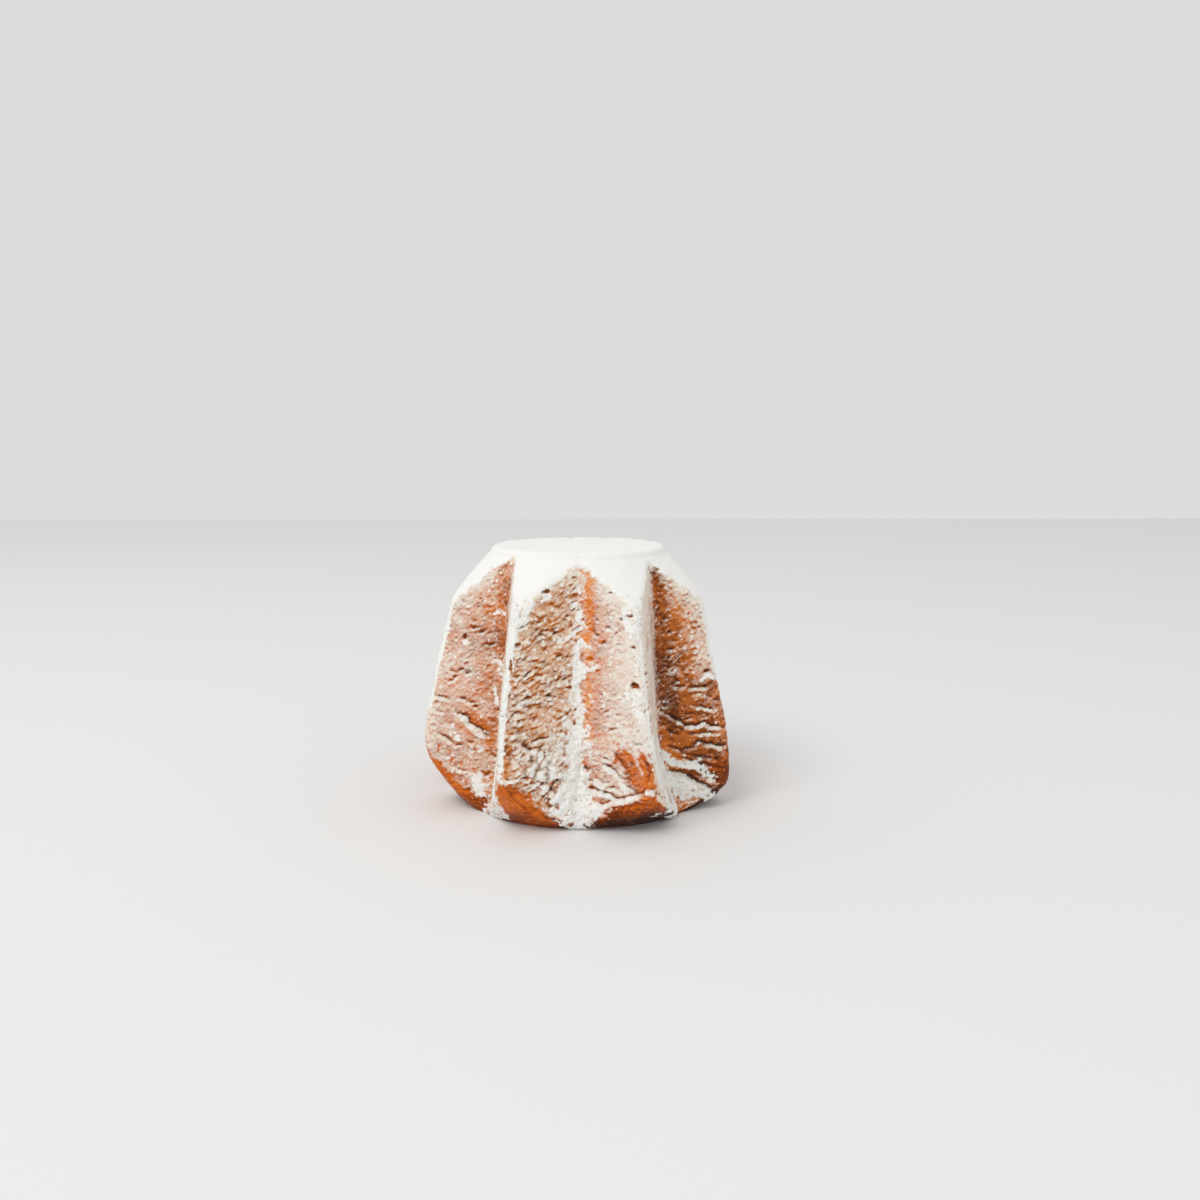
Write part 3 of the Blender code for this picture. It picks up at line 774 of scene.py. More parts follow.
def valleyStreaks(skin):
    # drifts down the other valleys: broken and ragged higher up, spread wide at the foot
    loose = uneven(skin.places, "streakEdge")
    upright = np.column_stack((0 * skin.height, 0 * skin.height, skin.height))
    widen = ramp(0.080, 0.0, skin.height)
    cover = np.zeros(len(loose))
    for i, (valley, top, foot, amount) in enumerate(heaps["valleyStreaks"]):
        patchy = 1.4 * noiseAt(upright, 0.020, 81 + i) + 1.5 * ramp(0.105, 0.040, skin.height)
        side = ((skin.bearing - valley + 180) % 360 - 180) * math.radians(1) * 0.08
        away = np.abs(side - 0.0030 * noiseAt(upright, 0.026, 91 + i))
        width = (top + (foot - top) * widen) / 1000 * (1 + 0.7 * noiseAt(upright, 0.013, 31 + i))
        reach = away / np.maximum(width, 0.0006) + loose * (0.7 + 0.5 * widen)
        cover = np.maximum(cover, amount * ramp(-0.25, 0.45, patchy) * ramp(1.5, 0.35, reach))
    return cover * (1 - 0.50 * ramp(0.075, 0.115, skin.height))


def acrossFaces(bearing, values):
    # a value for each half face, or three across it, read off at each bearing
    knots, readings = [], []
    for low, high, value in zip(cornerBearings, cornerBearings[1:], values):
        three = value if isinstance(value, tuple) else (value, value, value)
        knots += [low + 1.2, (low + high) / 2, high - 1.2]
        readings += three
    return np.interp(aroundLoaf(bearing), knots, readings)


def reliefOf(skin):
    # from swells down to pits, then the heel's wrinkles and the cap's swells; also where craters have rims
    places, warped = skin.base, skin.warped
    relief = np.zeros(len(places))
    for name, seed, at in (("swells", 1, places), ("lumps", 2, warped), ("grain", 3, warped)):
        spacing, depth = crustRelief[name]
        relief += depth * noiseAt(at, spacing / 1000, seed)
    spacing, depth, taken = crustRelief["blisters"]
    away, chance, size = cellsAt(warped, spacing / 1000, 4)
    blister = np.clip(1 - (away / (0.34 + 0.16 * size)) ** 2, 0, None) * (chance < taken)
    relief += depth * (0.5 + 0.8 * size) * blister
    spacing, depth, taken = crustRelief["craters"]
    away, chance, size = cellsAt(warped, spacing / 1000, 5)
    away = away * (1 + uneven(places, "craterRims"))
    edge = 0.20 + 0.20 * size
    sunk = (0.3 + 1.1 * size) * np.exp(-((away / (0.75 * edge)) ** 2))
    relief += depth * (np.exp(-(((away - edge) / 0.09) ** 2)) - sunk) * (chance < taken)
    rings = np.exp(-(((away - edge) / 0.075) ** 2)) * (chance < taken)
    spacing, depth, taken = crustRelief["pits"]
    away, chance, size = cellsAt(warped, spacing / 1000, 6)
    relief -= depth * (0.6 + 0.8 * size) * np.exp(-((away / (0.16 + 0.10 * size)) ** 2)) * (chance < taken)
    rough = acrossFaces(skin.bearing, crustRelief["roughness"]) * (1 + uneven(places, "roughness"))
    relief *= rough
    spacing, depth = crustRelief["powder"]
    skin.powderAway, skin.powderChance, size = cellsAt(warped, spacing / 1000, 8)
    relief += skin.powdery * depth * (1.1 - 2.0 * skin.powderAway)
    depth, spacingUp, spacingAlong = crustRelief["heelWrinkles"]
    stretched = places / np.array((spacingAlong, spacingAlong, spacingUp)) * 1000
    wrinkles = depth * (0.5 - 2 * np.abs(noiseAt(stretched, 1.0, 9)))
    bare = (1 - skin.cap) * (1 - skin.heel)
    relief = relief * bare + (wrinkles + uneven(places, "heel")) * skin.heel
    relief += uneven(places, "cap") * skin.cap
    return relief / 1000, rings * rough * bare


def roughenCrust(skin):
    # marks out the white cap, the bare heel and the lumpy drifts, then raises all the relief
    places, wall, under = skin.base, skin.wall, skin.under
    skin.wander, skin.quiver = wandering(places, "wander"), wandering(places, "quiver")
    skin.warped = places + folds["wander"] * (skin.wander + 0.5 * skin.quiver)
    skin.strayed = places + heaps["wander"] * skin.wander + heaps["quiver"] * skin.quiver
    skin.ragged = np.clip(1 + uneven(places, "ragged"), 0.3, None)

    # the cap is the flat top and the bevel's kites under it
    skin.excess = bevelExcess(skin.bearing, skin.height)
    cap = ramp(-0.0058, 0.0030, skin.excess + uneven(places, "capEdge"))
    skin.cap = np.where(skin.top, 1.0, cap * ramp(0.120, 0.135, skin.height))
    skin.cap[under] = 0
    skin.rise = strokes(skin.strayed, [(*rise, 1) for rise in heelRises], skin.ragged)
    slope = skin.outward[:, 2] + uneven(places, "heelEdge")
    skin.heel = np.where(wall, np.maximum(ramp(-0.15, -0.36, slope), skin.rise), 0)
    skin.heel[under] = 1
    skin.powdery = strokes(skin.strayed, heaps["powdery"], skin.ragged) * (1 - skin.rise)

    relief, skin.rings = reliefOf(skin)
    skin.ledge = addFolds(skin, relief)
    skin.torn = np.zeros(len(places))
    for hole in holes:
        reach = holeReach(skin.warped, hole)
        relief -= hole[4] / 1000 * ramp(1.35, 0.45, reach)
        skin.torn = np.maximum(skin.torn, ramp(1.15, 0.6, reach))
    # nicks in the rim, and the hollow of the underside
    middleAway = np.hypot(places[:, 0] - loaf["axisBow"], places[:, 1])
    nearRim = ramp(0.177, 0.1845, skin.height) * ramp(0.050, 0.058, middleAway) * ~under
    for nick, deep in loaf["rimNicks"]:
        turn = np.abs((skin.bearing - nick + 180) % 360 - 180) * math.radians(1) * loaf["nickRadius"]
        relief -= deep / 1000 * np.exp(-((turn / loaf["nickWidth"]) ** 2)) * nearRim
    relief[under] = -loaf["underHollow"] * ramp(0.92, 0.74, middleAway[under] / loaf["footRadius"])
    relief[wall] *= ramp(-0.0004, 0.004, skin.height[wall])
    skin.cavity = np.clip(-relief / 0.0009, 0, 1)
    skin.places = places + skin.outward * relief[:, None]
    skin.places[:, 2] = np.clip(skin.places[:, 2], 0, None)
    print("crust relief done")


def layDrifts(skin):
    # drifts have small holes in them, and only the wide ones stand up
    onWall = (1 - skin.rise) * ~skin.under
    streaks = valleyStreaks(skin)
    skin.drifted = np.maximum(strokes(skin.strayed, heaps["lines"], skin.ragged), streaks) * onWall
    skin.drift = skin.drifted * (1 - 0.78 * ramp(0.20, 0.55, uneven(skin.warped, "driftHoles")))
    least, full = heaps["moundWidths"]
    wide = [(line, half, amount * min(1, max(0, (half - least) / (full - least))))
            for line, half, amount in heaps["lines"]]
    mounds = strokes(skin.strayed, wide, skin.ragged)
    skin.bulk = np.maximum(mounds, heaps["streakMound"] * streaks) * onWall


def ridgeBands(skin):
    band = strokes(skin.base, heaps["bands"], skin.ragged**0.25)
    fading = [(((ridge, high), (ridge, low)), half, amount)
              for ridge in heaps["fadingRidges"] for high, low, half, amount in heaps["fadingBand"]]
    band = np.maximum(band, strokes(skin.strayed, fading, skin.ragged))
    return band * ((1 - skin.heel) * (1 - 0.2 * skin.clumps))


def laySugar(skin):
    # sugar lies where the relief faces up, on the lips, in drifts and in loose patches, never underneath
    notHeel = (1 - skin.heel) * ~skin.under
    up = skin.facing[:, 2]
    skin.clumps = uneven(skin.base, "clumps")
    lie = ramp(0.48, 0.90, up + 0.16 * skin.quiver[:, 0] + 0.10 * skin.wander[:, 0]) * notHeel
    layDrifts(skin)
    bare = strokes(skin.strayed, bareLines, skin.ragged)
    spacing, taken, size = heaps["patches"]
    away, chance, share = cellsAt(skin.warped + 0.0012 * skin.quiver, spacing / 1000, 56)
    patch = ramp(1.1, 0.7, away / (size * (0.4 + 0.9 * share))) * (chance < taken) * notHeel
    powder = skin.powdery * ramp(0.54, 0.34, skin.powderAway + 0.16 * skin.clumps)
    powder = powder * (skin.powderChance < heaps["powderyTaken"]) * notHeel
    skin.between = skin.powdery * ramp(0.52, 0.72, skin.powderAway + 0.10 * skin.clumps)

    # the thin veil: each face's own, more under the cap and where the crust faces up, less in cavities
    dust = acrossFaces(skin.bearing + uneven(skin.base, "dustTurn"), faceDust) + uneven(skin.base, "dust")
    unseen = ramp(75, 90, skin.bearing % 360) * ramp(285, 270, skin.bearing % 360)
    dust += uneven(skin.base, "unseenDust") * unseen
    dust += 0.22 * ramp(-0.016, -0.002, skin.excess) * ramp(0.110, 0.130, skin.height)
    patch *= ramp(0.25, 0.75, dust)
    dust += 1.4 * (up - skin.outward[:, 2]) - 0.25 * skin.cavity
    dust += 0.20 * ramp(0.150, 0.176, skin.height) * skin.ragged
    dust += strokes(skin.strayed, touches["dusted"], skin.ragged)
    dust = np.maximum(dust * (1 - 0.7 * skin.between), 0.7 * skin.drifted * (1 - 0.5 * skin.between))
    skin.dust = dust * (1 - 0.92 * bare) * (1 - skin.torn) * notHeel * (1 + 0.25 * skin.powdery)

    ringed = 0.55 * skin.rings * ramp(0.22, 0.50, skin.dust) * (1 + uneven(skin.base, "rings"))
    heap = np.maximum.reduce((
        skin.cap, skin.drift, ridgeBands(skin), ringed, powder, lie * (1 - 0.75 * bare),
        0.85 * patch * (1 - bare), folds["sugared"] * skin.ledge * notHeel,
    ))
    skin.heap = heap * (1 - skin.torn * (1 - lie)) * (1 - 0.55 * skin.between)
    skin.heap[skin.under] = 0


def bakeAndShadeCrust(skin):
    # the crust's tone with painted shade: darker in cavities, under overhangs and between the powder's lumps,
    # and on the heel towards the bottom and the right, where it is partly its own baking and partly painted
    # shade
    # painted shade where the relief faces down from the loaf's own slope, and painted light where it faces up
    shade = np.clip((skin.outward[:, 2] - skin.facing[:, 2]) * 1.6, -0.3, 1)
    bake = 0.40 + uneven(skin.base, "bake") + 0.36 * skin.cavity + 0.30 * shade
    for name, places, share in (("brown", skin.base, 1), ("pale", skin.base, -1),
                                ("brownHeel", skin.strayed, skin.heel), ("brownFolds", skin.strayed, 1)):
        bake += strokes(places, touches[name], skin.ragged) * share
    # painted shade between the powder's lumps; paler in the holes
    bake += 0.35 * skin.between - 0.20 * skin.torn
    right = ramp(0, 60, skin.bearing) * ramp(180, 100, skin.bearing)
    low = ramp(0.022, 0.0, skin.height)
    # the heel: darker low down and towards the right, partly its own baking and partly painted shade
    skin.bake = bake + skin.heel * ((0.36 + 0.36 * right) * low + 0.26 * right - 0.10)
    froth = acrossFaces(skin.bearing, faceFroth) + uneven(skin.base, "froth")
    skin.froth = np.clip(froth, 0, 1) * (1 - skin.heel)


def raiseSugar(skin):
    # the drifts have a real thickness
    even, byClumps = heaps["layerMm"]
    offCap = 1 - skin.cap
    thick = even * skin.heap + byClumps * skin.clumps * skin.heap * offCap
    uppers = 0.55 + 0.45 * skin.clumps + uneven(skin.base, "driftTop")
    thick += heaps["moundMm"] * skin.bulk * offCap * uppers
    thick += uneven(skin.warped, "driftGrain") * skin.drift * offCap
    skin.places = skin.places + skin.outward * (np.clip(thick, 0, None) / 1000)[:, None]
    skin.places[:, 2] = np.clip(skin.places[:, 2], 0, None)
    skin.normals = normalsOf(skin)


def dressLoaf():
    skin = loafSkin()
    skin.base, skin.outward = skin.places, normalsOf(skin)
    print("loaf skin:", len(skin.base), "points,", 2 * len(skin.quads) + len(skin.threes), "triangles")
    roughenCrust(skin)
    skin.facing = normalsOf(skin)
    laySugar(skin)
    bakeAndShadeCrust(skin)
    raiseSugar(skin)
    print("sugar laid")
    return skin


# Four pieces, each two points of the star, that meet in valleys so that their seams don't show
skinPieces = {
    "loafFront": (-45, 46.5),
    "loafRight": (46.5, 134),
    "loafBack": (134, 223),
    "loafLeft": (223, 315),
}
skinLayers = ("heap", "dust", "bake", "froth")


def addPiece(name, points, faces, material):
    mesh = bpy.data.meshes.new(name)
    mesh.from_pydata(points.tolist(), [], faces)
    mesh.shade_smooth()
    mesh.materials.append(material)
    piece = bpy.data.objects.new(name, mesh)
    scene.collection.objects.link(piece)
    return piece


def addSkinPieces(skin, material):
    pieces = []
    for name, (start, end) in skinPieces.items():
        quads, threes = (faces[(skin.bearing[faces[:, 0]] - start + 1e-6) % 360 < end - start]
                         for faces in (skin.quads, skin.threes))
        used, numbers = np.unique(np.concatenate((quads.ravel(), threes.ravel())), return_inverse=True)
        fours, rest = np.split(numbers.ravel(), [quads.size])
        faces = fours.reshape(-1, 4).tolist() + rest.reshape(-1, 3).tolist()
        piece = addPiece(name, skin.places[used], faces, material)
        piece.data.normals_split_custom_set_from_vertices(skin.normals[used].tolist())
        for layerName in skinLayers:
            layer = piece.data.attributes.new(layerName, "FLOAT", "POINT")
            layer.data.foreach_set("value", np.clip(getattr(skin, layerName)[used], 0, 1.5))
        pieces.append(piece)
        print(name, 2 * len(quads) + len(threes), "triangles")
    return pieces


# Baked crust: dough baked against a buttered mould, so it is smooth, golden to brown and faintly glossy.
# Sieved icing sugar on it: a veil of grains finer than the eye sees, thicker where the crust faces up.
bakedCrust = {
    "smooth": ("#EA9038", "#D26619", "#873D0D", "#421906"),    # from pale to dark
    "frothy": ("#EAA050", "#CA7830", "#8A4A1A", "#401C0A"),
    "shadeStops": (0.36, 0.68),                                # of the two middle shades
    # painted shade in the pores and hair cracks
    "poreShade": "#86400E",
    "sugar": "#F5F4F0",
    "veil": ("#EFEADE", "#F0E6D4"),                            # over smooth crust, over frothy crust
    # spacings in mm, as coarse as they need to be to show
    "grain": 2.1,
    "bubble": 3.3,
    "powder": 1.0,
    "clumps": 3.4,
    "rings": 6.4,
    "ringBends": 3.0,
    "pores": 3.4,
    "cracks": 5.0,
    "crackPatches": 6.5,
    # spots: spacing in mm, radius in spacings, how strongly they are drawn to what is around, least chance
    "dots": (2.3, 0.21, 0.42, 0.98),
    "fineDots": (1.5, 0.26, 0.48, 0.96),
    "bareDots": (2.6, 0.24, -0.9, 0.25),
    "knobs": (3.3, 0.28, 0.45, 0.98),
    "bubbleDip": -0.45,                  # how much a bubble's edges lie lower than its middle
    "liftMm": 0.45,                      # how far above and below the grain is read to see how it slopes
    "crackFlatness": (1, 1, 2.2),
    "ringRadius": 0.34,                  # in spacings
    "ringBend": 0.005,                   # in m
    "ringPull": 0.5,                     # how strongly rings are drawn to froth
    "poreChance": 0.84,                  # share of the pores' cells that are left empty
    "veilMost": 0.90,
    "knobWhite": 0.96,
    "openedMost": 0.42,
    # ranges: from low, from high, and where it isn't 0 to 1, to low, to high
    "start": (0, 0.25),                  # how much sugar there is before anything fine shows
    "thickEdge": (0.42, 0.62),
    "ringLine": (0.10, 0.03, 0, 0.7),
    "ringPatches": (0.44, 0.56),
    "speckGrain": (0.30, 0.52, 0, 0.85),
    "poreSize": (0.14, 0.28, 1, 0),
    "crackLine": (0.004, 0.034, 1, 0),
    "crackParts": (0.58, 0.70),
    "roughness": (0, 1, 0.38, 0.92),     # of bare crust, of sugar
    "heapedRelief": (0, 1, 1, 0.45),     # fine relief is lower under sugar, and on crust with none at all
    "startedRelief": (0, 1, 0.45, 1),
    # sums: what each starts from, and how much of what is added to it
    "around": ("dust", {"heap": 0.55}),
    "edge": ("heap", {"facingUp": 0.50, "powderAway": 0.85, "clumpsAway": 0.55, "bareDots": -0.35}),
    "cover": ("around", {"facingUp": 0.70, "powderAway": 0.40, "clumpsAway": 0.40}),
    # the tone is darkened as painted shade where the grain faces down, in pores and in cracks
    "tone": ("bake", {"clumpsAway": 0.35, "facingUp": -0.35, "poreShade": 0.30, "crack": 0.35}),
    "lumpy": ("height", {"powder": 0.25, "openedAndShaded": -0.8}),
    "relief": ("levelled", {"froths": 0.7}),
    "ior": 1.46,                         # butter and baked starch
    "shine": 0.13,                       # less than a clean surface's, for its fine pores
    "bump": (0.8, 0.00024),              # strength, and distance in m
}


def addCrustMaterial():
    look = bakedCrust
    material, shader = newMaterial("bakedCrust")
    tree = material.node_tree
    coords = addNode(tree, "TexCoord")["Object"]
    # the outputs that the sums are made of
    parts = {name: addNode(tree, "Attribute", {"attribute_name": name})["Fac"] for name in skinLayers}

    def summed(name):
        # becomes a part itself
        start, added = look[name]
        total = parts[start]
        for part, weight in added.items():
            total = addNode(tree, "Math", {"operation": "MULTIPLY_ADD", 0: parts[part], 1: weight,
                            2: total})[0]
        parts[name] = total
        return total

    def spots(name, around):
        # small round spots, more of them where there is more around
        spacing, radius, pull, least = look[name]
        cells = addNode(tree, "TexVoronoi", {"Scale": 1000 / spacing, "Vector": coords})
        inside = addNode(tree, "MapRange", {"interpolation_type": "SMOOTHSTEP", 0: cells["Distance"],
                         1: 1.5 * radius, 2: 0.6 * radius})[0]
        chance = addNode(tree, "SeparateColor", {0: cells["Color"]})[1]
        lucky = addNode(tree, "Math", {"operation": "MULTIPLY_ADD", 0: around, 1: pull, 2: chance})[0]
        taken = addNode(tree, "Math", {"operation": "GREATER_THAN", 0: lucky, 1: least})[0]
        return addNode(tree, "Math", {"operation": "MULTIPLY", 0: inside, 1: taken})[0]

    # grain that faces up holds sugar, and grain that faces down is bare
    heights = []
    for lift in (0, -look["liftMm"], look["liftMm"]):
        place = addNode(tree, "VectorMath", {"operation": "ADD", 0: coords, 1: (0, 0, lift / 1000)})[0]
        grain = addNode(tree, "TexNoise", {"Scale": 1000 / look["grain"], "Detail": 2.0, "Roughness": 0.6,
                        "Vector": place})["Fac"]
        bubble = addNode(tree, "TexVoronoi", {"Scale": 1000 / look["bubble"], "Vector": place})["Distance"]
        heights.append(addNode(tree, "Math", {"operation": "MULTIPLY_ADD", 0: bubble, 1: look["bubbleDip"],
                               2: grain})[0])
    parts["height"], below, above = heights
    parts["facingUp"] = addNode(tree, "Math", {"operation": "SUBTRACT", 0: below, 1: above})[0]
    for name, detail in (("powder", 1.0), ("clumps", 2.0)):
        parts[name] = addNode(tree, "TexNoise", {"Scale": 1000 / look[name], "Detail": detail,
                              "Vector": coords})["Fac"]
        parts[name + "Away"] = addNode(tree, "Math", {"operation": "SUBTRACT", 0: parts[name], 1: 0.5})[0]

    # the thick sugar's edge breaks up into specks, with bare pinholes inside it
    around = summed("around")
    started = addNode(tree, "MapRange", {0: around, **asInputs(look["start"])})[0]
    parts["bareDots"] = spots("bareDots", parts["heap"])
    thick = addNode(tree, "MapRange", {"interpolation_type": "SMOOTHSTEP", 0: summed("edge"),
                    **asInputs(look["thickEdge"])})[0]
    specks = addNode(tree, "Math", {"operation": "MAXIMUM", 0: spots("dots", around),
                     1: spots("fineDots", around)})[0]
    grainy = addNode(tree, "MapRange", {0: parts["powder"], **asInputs(look["speckGrain"])})[0]
    specks = addNode(tree, "Math", {"operation": "MULTIPLY", 0: specks, 1: grainy})[0]

    # froth: bubbles as small knobs with sugar on them, and burst ones as rings
    knobs = spots("knobs", parts["froth"])
    knobs = addNode(tree, "Math", {"operation": "MULTIPLY", 0: knobs, 1: started})[0]
    bend = addNode(tree, "TexNoise", {"Scale": 1000 / look["ringBends"], "Detail": 1.0,
                   "Vector": coords})["Color"]
    bent = addNode(tree, "VectorMath", {"operation": "MULTIPLY_ADD", 0: bend, 1: [look["ringBend"]] * 3,
                   2: coords})[0]
    cells = addNode(tree, "TexVoronoi", {"Scale": 1000 / look["rings"], "Vector": bent})
    rim = addNode(tree, "Math", {"operation": "SUBTRACT", 0: cells["Distance"], 1: look["ringRadius"]})[0]
    rim = addNode(tree, "Math", {"operation": "ABSOLUTE", 0: rim})[0]
    rim = addNode(tree, "MapRange", {0: rim, **asInputs(look["ringLine"])})[0]
    chance = addNode(tree, "SeparateColor", {0: cells["Color"]})[1]
    lucky = addNode(tree, "Math", {"operation": "MULTIPLY_ADD", 0: parts["froth"], 1: look["ringPull"],
                    2: chance})[0]
    burst = addNode(tree, "Math", {"operation": "GREATER_THAN", 0: lucky, 1: 1.0})[0]
    patchy = addNode(tree, "MapRange", {0: parts["clumps"], **asInputs(look["ringPatches"])})[0]
    for factor in (burst, started, patchy):
        rim = addNode(tree, "Math", {"operation": "MULTIPLY", 0: rim, 1: factor})[0]
    parts["froths"] = addNode(tree, "Math", {"operation": "MAXIMUM", 0: knobs, 1: rim})[0]
    whitened = addNode(tree, "Math", {"operation": "MULTIPLY", 0: parts["froths"], 1: look["knobWhite"]})[0]
    heaped = thick
    for white in (specks, whitened):
        heaped = addNode(tree, "Math", {"operation": "MAXIMUM", 0: heaped, 1: white})[0]

    # the thin veil
    veil = addNode(tree, "Math", {"operation": "MULTIPLY", 0: summed("cover"), 1: started})[0]
    veil = addNode(tree, "Clamp", {"Min": 0.0, "Max": look["veilMost"], "Value": veil})[0]

    # pores, and hair cracks that wander and come in patches: they sink the bump, and painted shade darkens
    # them
    pores = addNode(tree, "TexVoronoi", {"Scale": 1000 / look["pores"], "Vector": coords})
    small = addNode(tree, "MapRange", {0: pores["Distance"], **asInputs(look["poreSize"])})[0]
    chance = addNode(tree, "SeparateColor", {0: pores["Color"]})[0]
    some = addNode(tree, "Math", {"operation": "GREATER_THAN", 0: chance, 1: look["poreChance"]})[0]
    parts["poreShade"] = addNode(tree, "Math", {"operation": "MULTIPLY", 0: small, 1: some})[0]
    flat = addNode(tree, "VectorMath", {"operation": "MULTIPLY", 0: coords, 1: look["crackFlatness"]})[0]
    folding = addNode(tree, "TexNoise", {"Scale": 1000 / look["cracks"], "Detail": 0.6,
                      "Vector": flat})["Fac"]
    away = addNode(tree, "Math", {"operation": "SUBTRACT", 0: folding, 1: 0.5})[0]
    away = addNode(tree, "Math", {"operation": "ABSOLUTE", 0: away})[0]
    where = addNode(tree, "TexNoise", {"Scale": 1000 / look["crackPatches"], "Vector": coords})["Fac"]
    line = addNode(tree, "MapRange", {"interpolation_type": "SMOOTHSTEP", 0: away,
                   **asInputs(look["crackLine"])})[0]
    here = addNode(tree, "MapRange", {"interpolation_type": "SMOOTHSTEP", 0: where,
                   **asInputs(look["crackParts"])})[0]
    parts["crack"] = addNode(tree, "Math", {"operation": "MULTIPLY", 0: line, 1: here})[0]
    openedAndShaded = addNode(tree, "Math", {"operation": "MAXIMUM", 0: parts["poreShade"], 1: parts["crack"]})[0]
    openedAndShaded = addNode(tree, "Math", {"operation": "MULTIPLY", 0: openedAndShaded, 1: look["openedMost"]})[0]
    parts["openedAndShaded"] = addNode(tree, "Math", {"operation": "MULTIPLY", 0: openedAndShaded, 1: started})[0]

    # the crust's two colours, then the veil, the painted shade in pores and cracks, and the thick sugar over
    # them
    tone = summed("tone")
    crusts = []
    for shades in (look["smooth"], look["frothy"]):
        crust = addNode(tree, "ValToRGB", {"Fac": tone})["Color"]
        stops = crust.node.color_ramp.elements
        stops[0].color, stops[1].color = toLinear(shades[0]), toLinear(shades[3])
        for place, shade in zip(look["shadeStops"], shades[1:]):
            stops.new(place).color = toLinear(shade)
        crusts.append(crust)
    crust = addNode(tree, "Mix", {"data_type": "RGBA", 0: parts["froth"], 6: crusts[0], 7: crusts[1]})[2]
    cream = addNode(tree, "Mix", {"data_type": "RGBA", 0: parts["froth"], 6: toLinear(look["veil"][0]),
                    7: toLinear(look["veil"][1])})[2]
    colour = addNode(tree, "Mix", {"data_type": "RGBA", 0: veil, 6: crust, 7: cream})[2]
    for name, share in (("poreShade", parts["openedAndShaded"]), ("sugar", heaped)):
        colour = addNode(tree, "Mix", {"data_type": "RGBA", 0: share, 6: colour, 7: toLinear(look[name])})[2]
    matt = addNode(tree, "Math", {"operation": "MAXIMUM", 0: heaped, 1: veil})[0]
    roughness, level, rubbed = (
        addNode(tree, "MapRange", {0: source, **asInputs(look[name])})[0]
        for name, source in (("roughness", matt), ("heapedRelief", heaped), ("startedRelief", started))
    )
    level = addNode(tree, "Math", {"operation": "MULTIPLY", 0: level, 1: rubbed})[0]
    parts["levelled"] = addNode(tree, "Math", {"operation": "MULTIPLY", 0: summed("lumpy"), 1: level})[0]
    bump = addNode(tree, "Bump", {"Strength": look["bump"][0], "Distance": look["bump"][1],
                   "Height": summed("relief")})[0]
    for name, source in (("Base Color", colour), ("Roughness", roughness), ("Normal", bump)):
        tree.links.new(source, shader.inputs[name])
    shader.inputs["IOR"].default_value = look["ior"]
    shader.inputs["Specular IOR Level"].default_value = look["shine"]
    return material


# Icing sugar that fell in lumps: powder pressed together by its own damp, dead matt and white
sugarLumps = {
    # the first colour is painted shade between the grains
    "colours": ("#E9E4DC", "#F5F4F0"),   # between its grains, and on them
    "powderMm": 0.7,
    "bump": (0.6, 0.0003),               # strength, and distance in m
    "roughness": 0.95,
    "ior": 1.54,                         # sucrose
    "loose": (5200, 0.20, 0.42),         # single specks on the veil: how many, least and most radius in mm
    "fine": (2300, 0.22, 0.45),          # along the drifts
    "coarse": (520, 0.42, 0.90),
    "knobbly": 0.26,                     # how uneven a lump's radius is
    "stretch": (0.75, 1.2),
    "strayMm": 0.3,                      # how far along the surface from its own point of the skin
    "sunk": 0.1,                         # how far its middle is under the surface, of its radius
    "seed": 17,
}


def addLumpMaterial():
    look = sugarLumps
    material, shader = newMaterial("icingSugar")
    tree = material.node_tree
    coords = addNode(tree, "TexCoord")["Object"]
    powder = addNode(tree, "TexNoise", {"Scale": 1000 / look["powderMm"], "Detail": 2.0,
                     "Vector": coords})["Fac"]
    bump = addNode(tree, "Bump", {"Strength": look["bump"][0], "Distance": look["bump"][1],
                   "Height": powder})[0]
    # painted shade between the grains, and the grains' own white
    between, grain = (toLinear(colour) for colour in look["colours"])
    colour = addNode(tree, "Mix", {"data_type": "RGBA", 0: powder, 6: between, 7: grain})[2]
    tree.links.new(colour, shader.inputs["Base Color"])
    tree.links.new(bump, shader.inputs["Normal"])
    shader.inputs["Roughness"].default_value = look["roughness"]
    shader.inputs["IOR"].default_value = look["ior"]
    return material


def ballTemplate(divisions):
    mesh = bpy.data.meshes.new("ball")
    ball = bmesh.new()
    bmesh.ops.create_icosphere(ball, subdivisions=divisions, radius=1)
    ball.to_mesh(mesh)
    ball.free()
    points = np.array([vertex.co for vertex in mesh.vertices])
    faces = np.array([face.vertices for face in mesh.polygons])
    bpy.data.meshes.remove(mesh)
    return points, faces


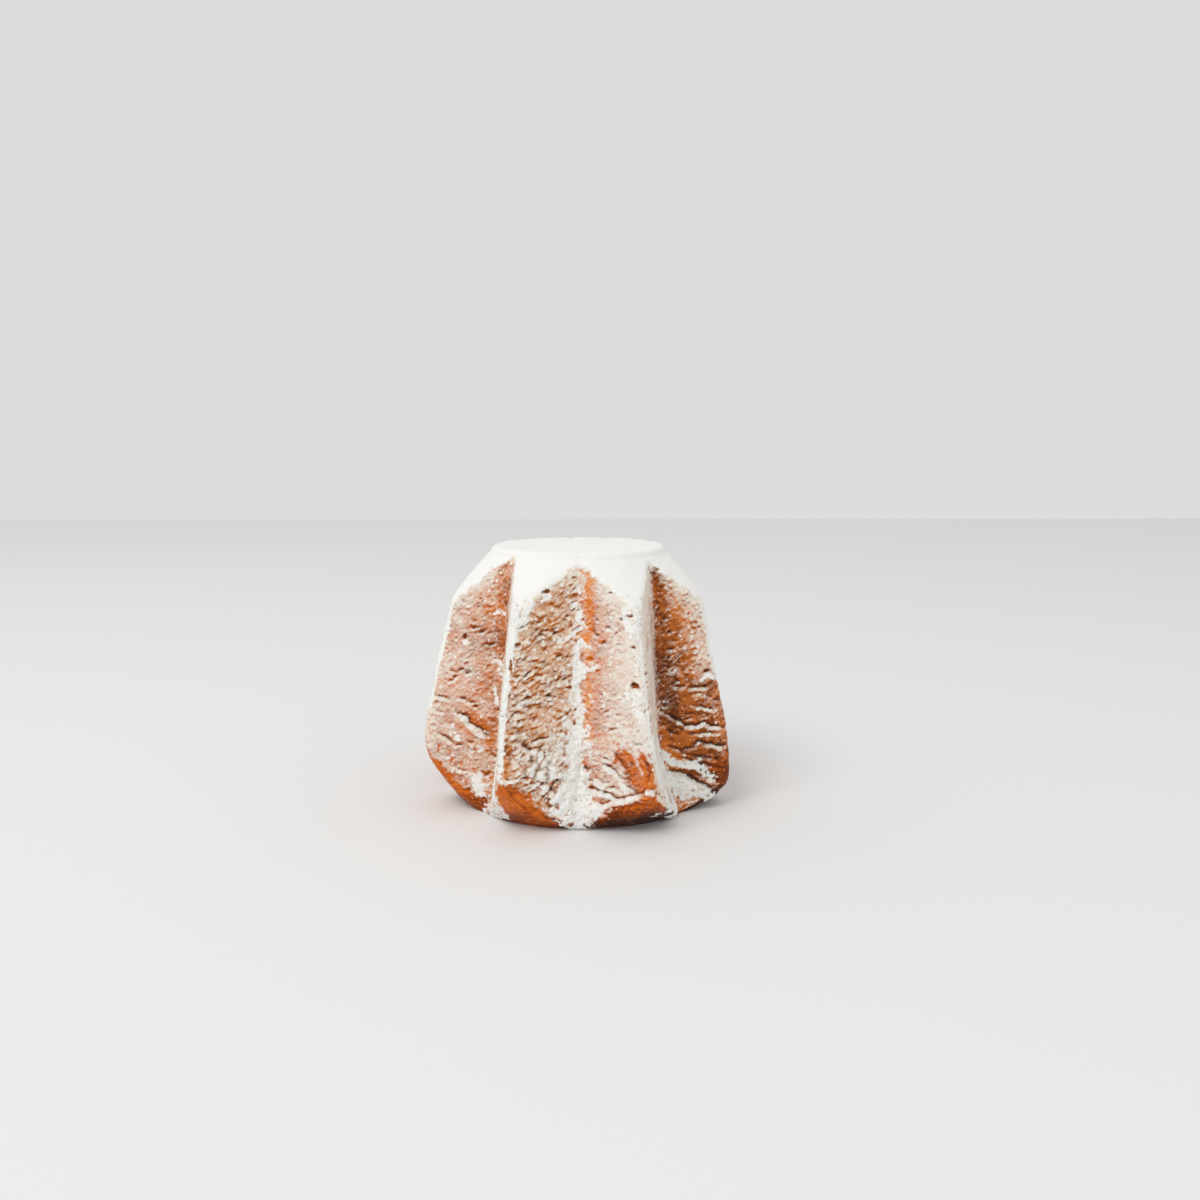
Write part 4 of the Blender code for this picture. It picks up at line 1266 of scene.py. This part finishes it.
def addLumps(skin, material):
    # some along the drifts and the cap's edge, and loose specks where dusted crust faces up
    look = sugarLumps
    places, normals = skin.places, skin.normals
    dice = np.random.default_rng(look["seed"])
    heaped = ramp(0.40, 0.70, skin.heap) * ramp(0.05, 0.4, skin.drift) * (1 - skin.cap)
    edge = ramp(0.05, 0.5, skin.cap) * ramp(1.0, 0.6, skin.cap)
    weight = np.where(skin.wall, heaped * (0.25 + skin.drift) + 0.20 * edge, 0)
    weight = weight * ramp(0.004, 0.012, places[:, 2])
    settled = ramp(0.15, 0.9, skin.dust) * ramp(0.05, 0.5, normals[:, 2]) * (1 - skin.cap)
    settled = np.where(skin.wall, settled * (1 + 1.5 * skin.froth), 0)
    points, faces = [], []
    start = 0
    for name, divisions, where in (("loose", 1, settled), ("fine", 1, weight), ("coarse", 2, weight)):
        count, least, most = look[name]
        ball, ballFaces = ballTemplate(divisions)
        for vertex in dice.choice(len(places), count, p=where / where.sum()):
            size = least * (most / least) ** (dice.random() ** 1.6) / 1000
            knobs = 1 + look["knobbly"] * dice.standard_normal(len(ball))
            stretch = dice.uniform(*look["stretch"], 3)
            shift = dice.normal(0, look["strayMm"] / 1000, 3)
            shift -= normals[vertex] * (shift @ normals[vertex])
            middle = places[vertex] + shift - normals[vertex] * size * look["sunk"]
            points.append(middle + ball * knobs[:, None] * stretch * size)
            faces.append(ballFaces + start)
            start += len(ball)
    faces = np.concatenate(faces)
    print("sugar lumps:", len(faces), "triangles")
    return addPiece("sugarLumps", np.concatenate(points), faces.tolist(), material)


# The picture: a camera a little above the loaf, a broad light from the left and a pale floor
picture = {
    "cameraPlace": (0, -0.7674, 0.2595),
    "pitch": 8.365,
    "yaw": 1.264,
    "lens": 31.26,
    "floor": "#EDEDEC",  # plain matt paper
    "floorHalf": 3,
    "world": 0.72,
    "keyPlace": (-1.45, -1.75, 2.9),
    "keySize": 2.0,
    "keyAim": (0, 0, 0.1),
    "keyPower": 42,
}


def addCamera():
    camera = bpy.data.objects.new("camera", bpy.data.cameras.new("camera"))
    camera.data.sensor_width = 36
    camera.data.lens = picture["lens"]
    camera.data.clip_start = 0.01
    camera.location = picture["cameraPlace"]
    camera.rotation_euler = (math.radians(90 - picture["pitch"]), 0, math.radians(-picture["yaw"]))
    scene.collection.objects.link(camera)
    scene.camera = camera


def addStudio():
    world = bpy.data.worlds.new("studio")
    scene.world = world
    world.use_nodes = True
    background = world.node_tree.nodes["Background"]
    background.inputs["Color"].default_value = (1, 1, 1, 1)
    background.inputs["Strength"].default_value = picture["world"]

    light = bpy.data.lights.new("key", "AREA")
    light.shape = "DISK"
    light.size = picture["keySize"]
    light.energy = picture["keyPower"]
    lamp = bpy.data.objects.new("key", light)
    lamp.location = picture["keyPlace"]
    lamp.rotation_euler = (Vector(picture["keyAim"]) - lamp.location).to_track_quat("-Z", "Y").to_euler()
    scene.collection.objects.link(lamp)

    material, shader = newMaterial("mattPaper")
    shader.inputs["Base Color"].default_value = toLinear(picture["floor"])
    shader.inputs["Roughness"].default_value = 0.9
    half = picture["floorHalf"]
    mesh = bpy.data.meshes.new("floor")
    square = [(-half, -half, 0), (half, -half, 0), (half, half, 0), (-half, half, 0)]
    mesh.from_pydata(square, [], [(0, 1, 2, 3)])
    mesh.materials.append(material)
    floor = bpy.data.objects.new("floor", mesh)
    scene.collection.objects.link(floor)
    scene.view_settings.view_transform = "Standard"


addCamera()
addStudio()
print("camera and studio ready")

loafSurface = dressLoaf()
for piece in addSkinPieces(loafSurface, addCrustMaterial()):
    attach(piece, "root")
    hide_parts("pandoro")

lumpPiece = addLumps(loafSurface, addLumpMaterial())
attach(lumpPiece, "root")
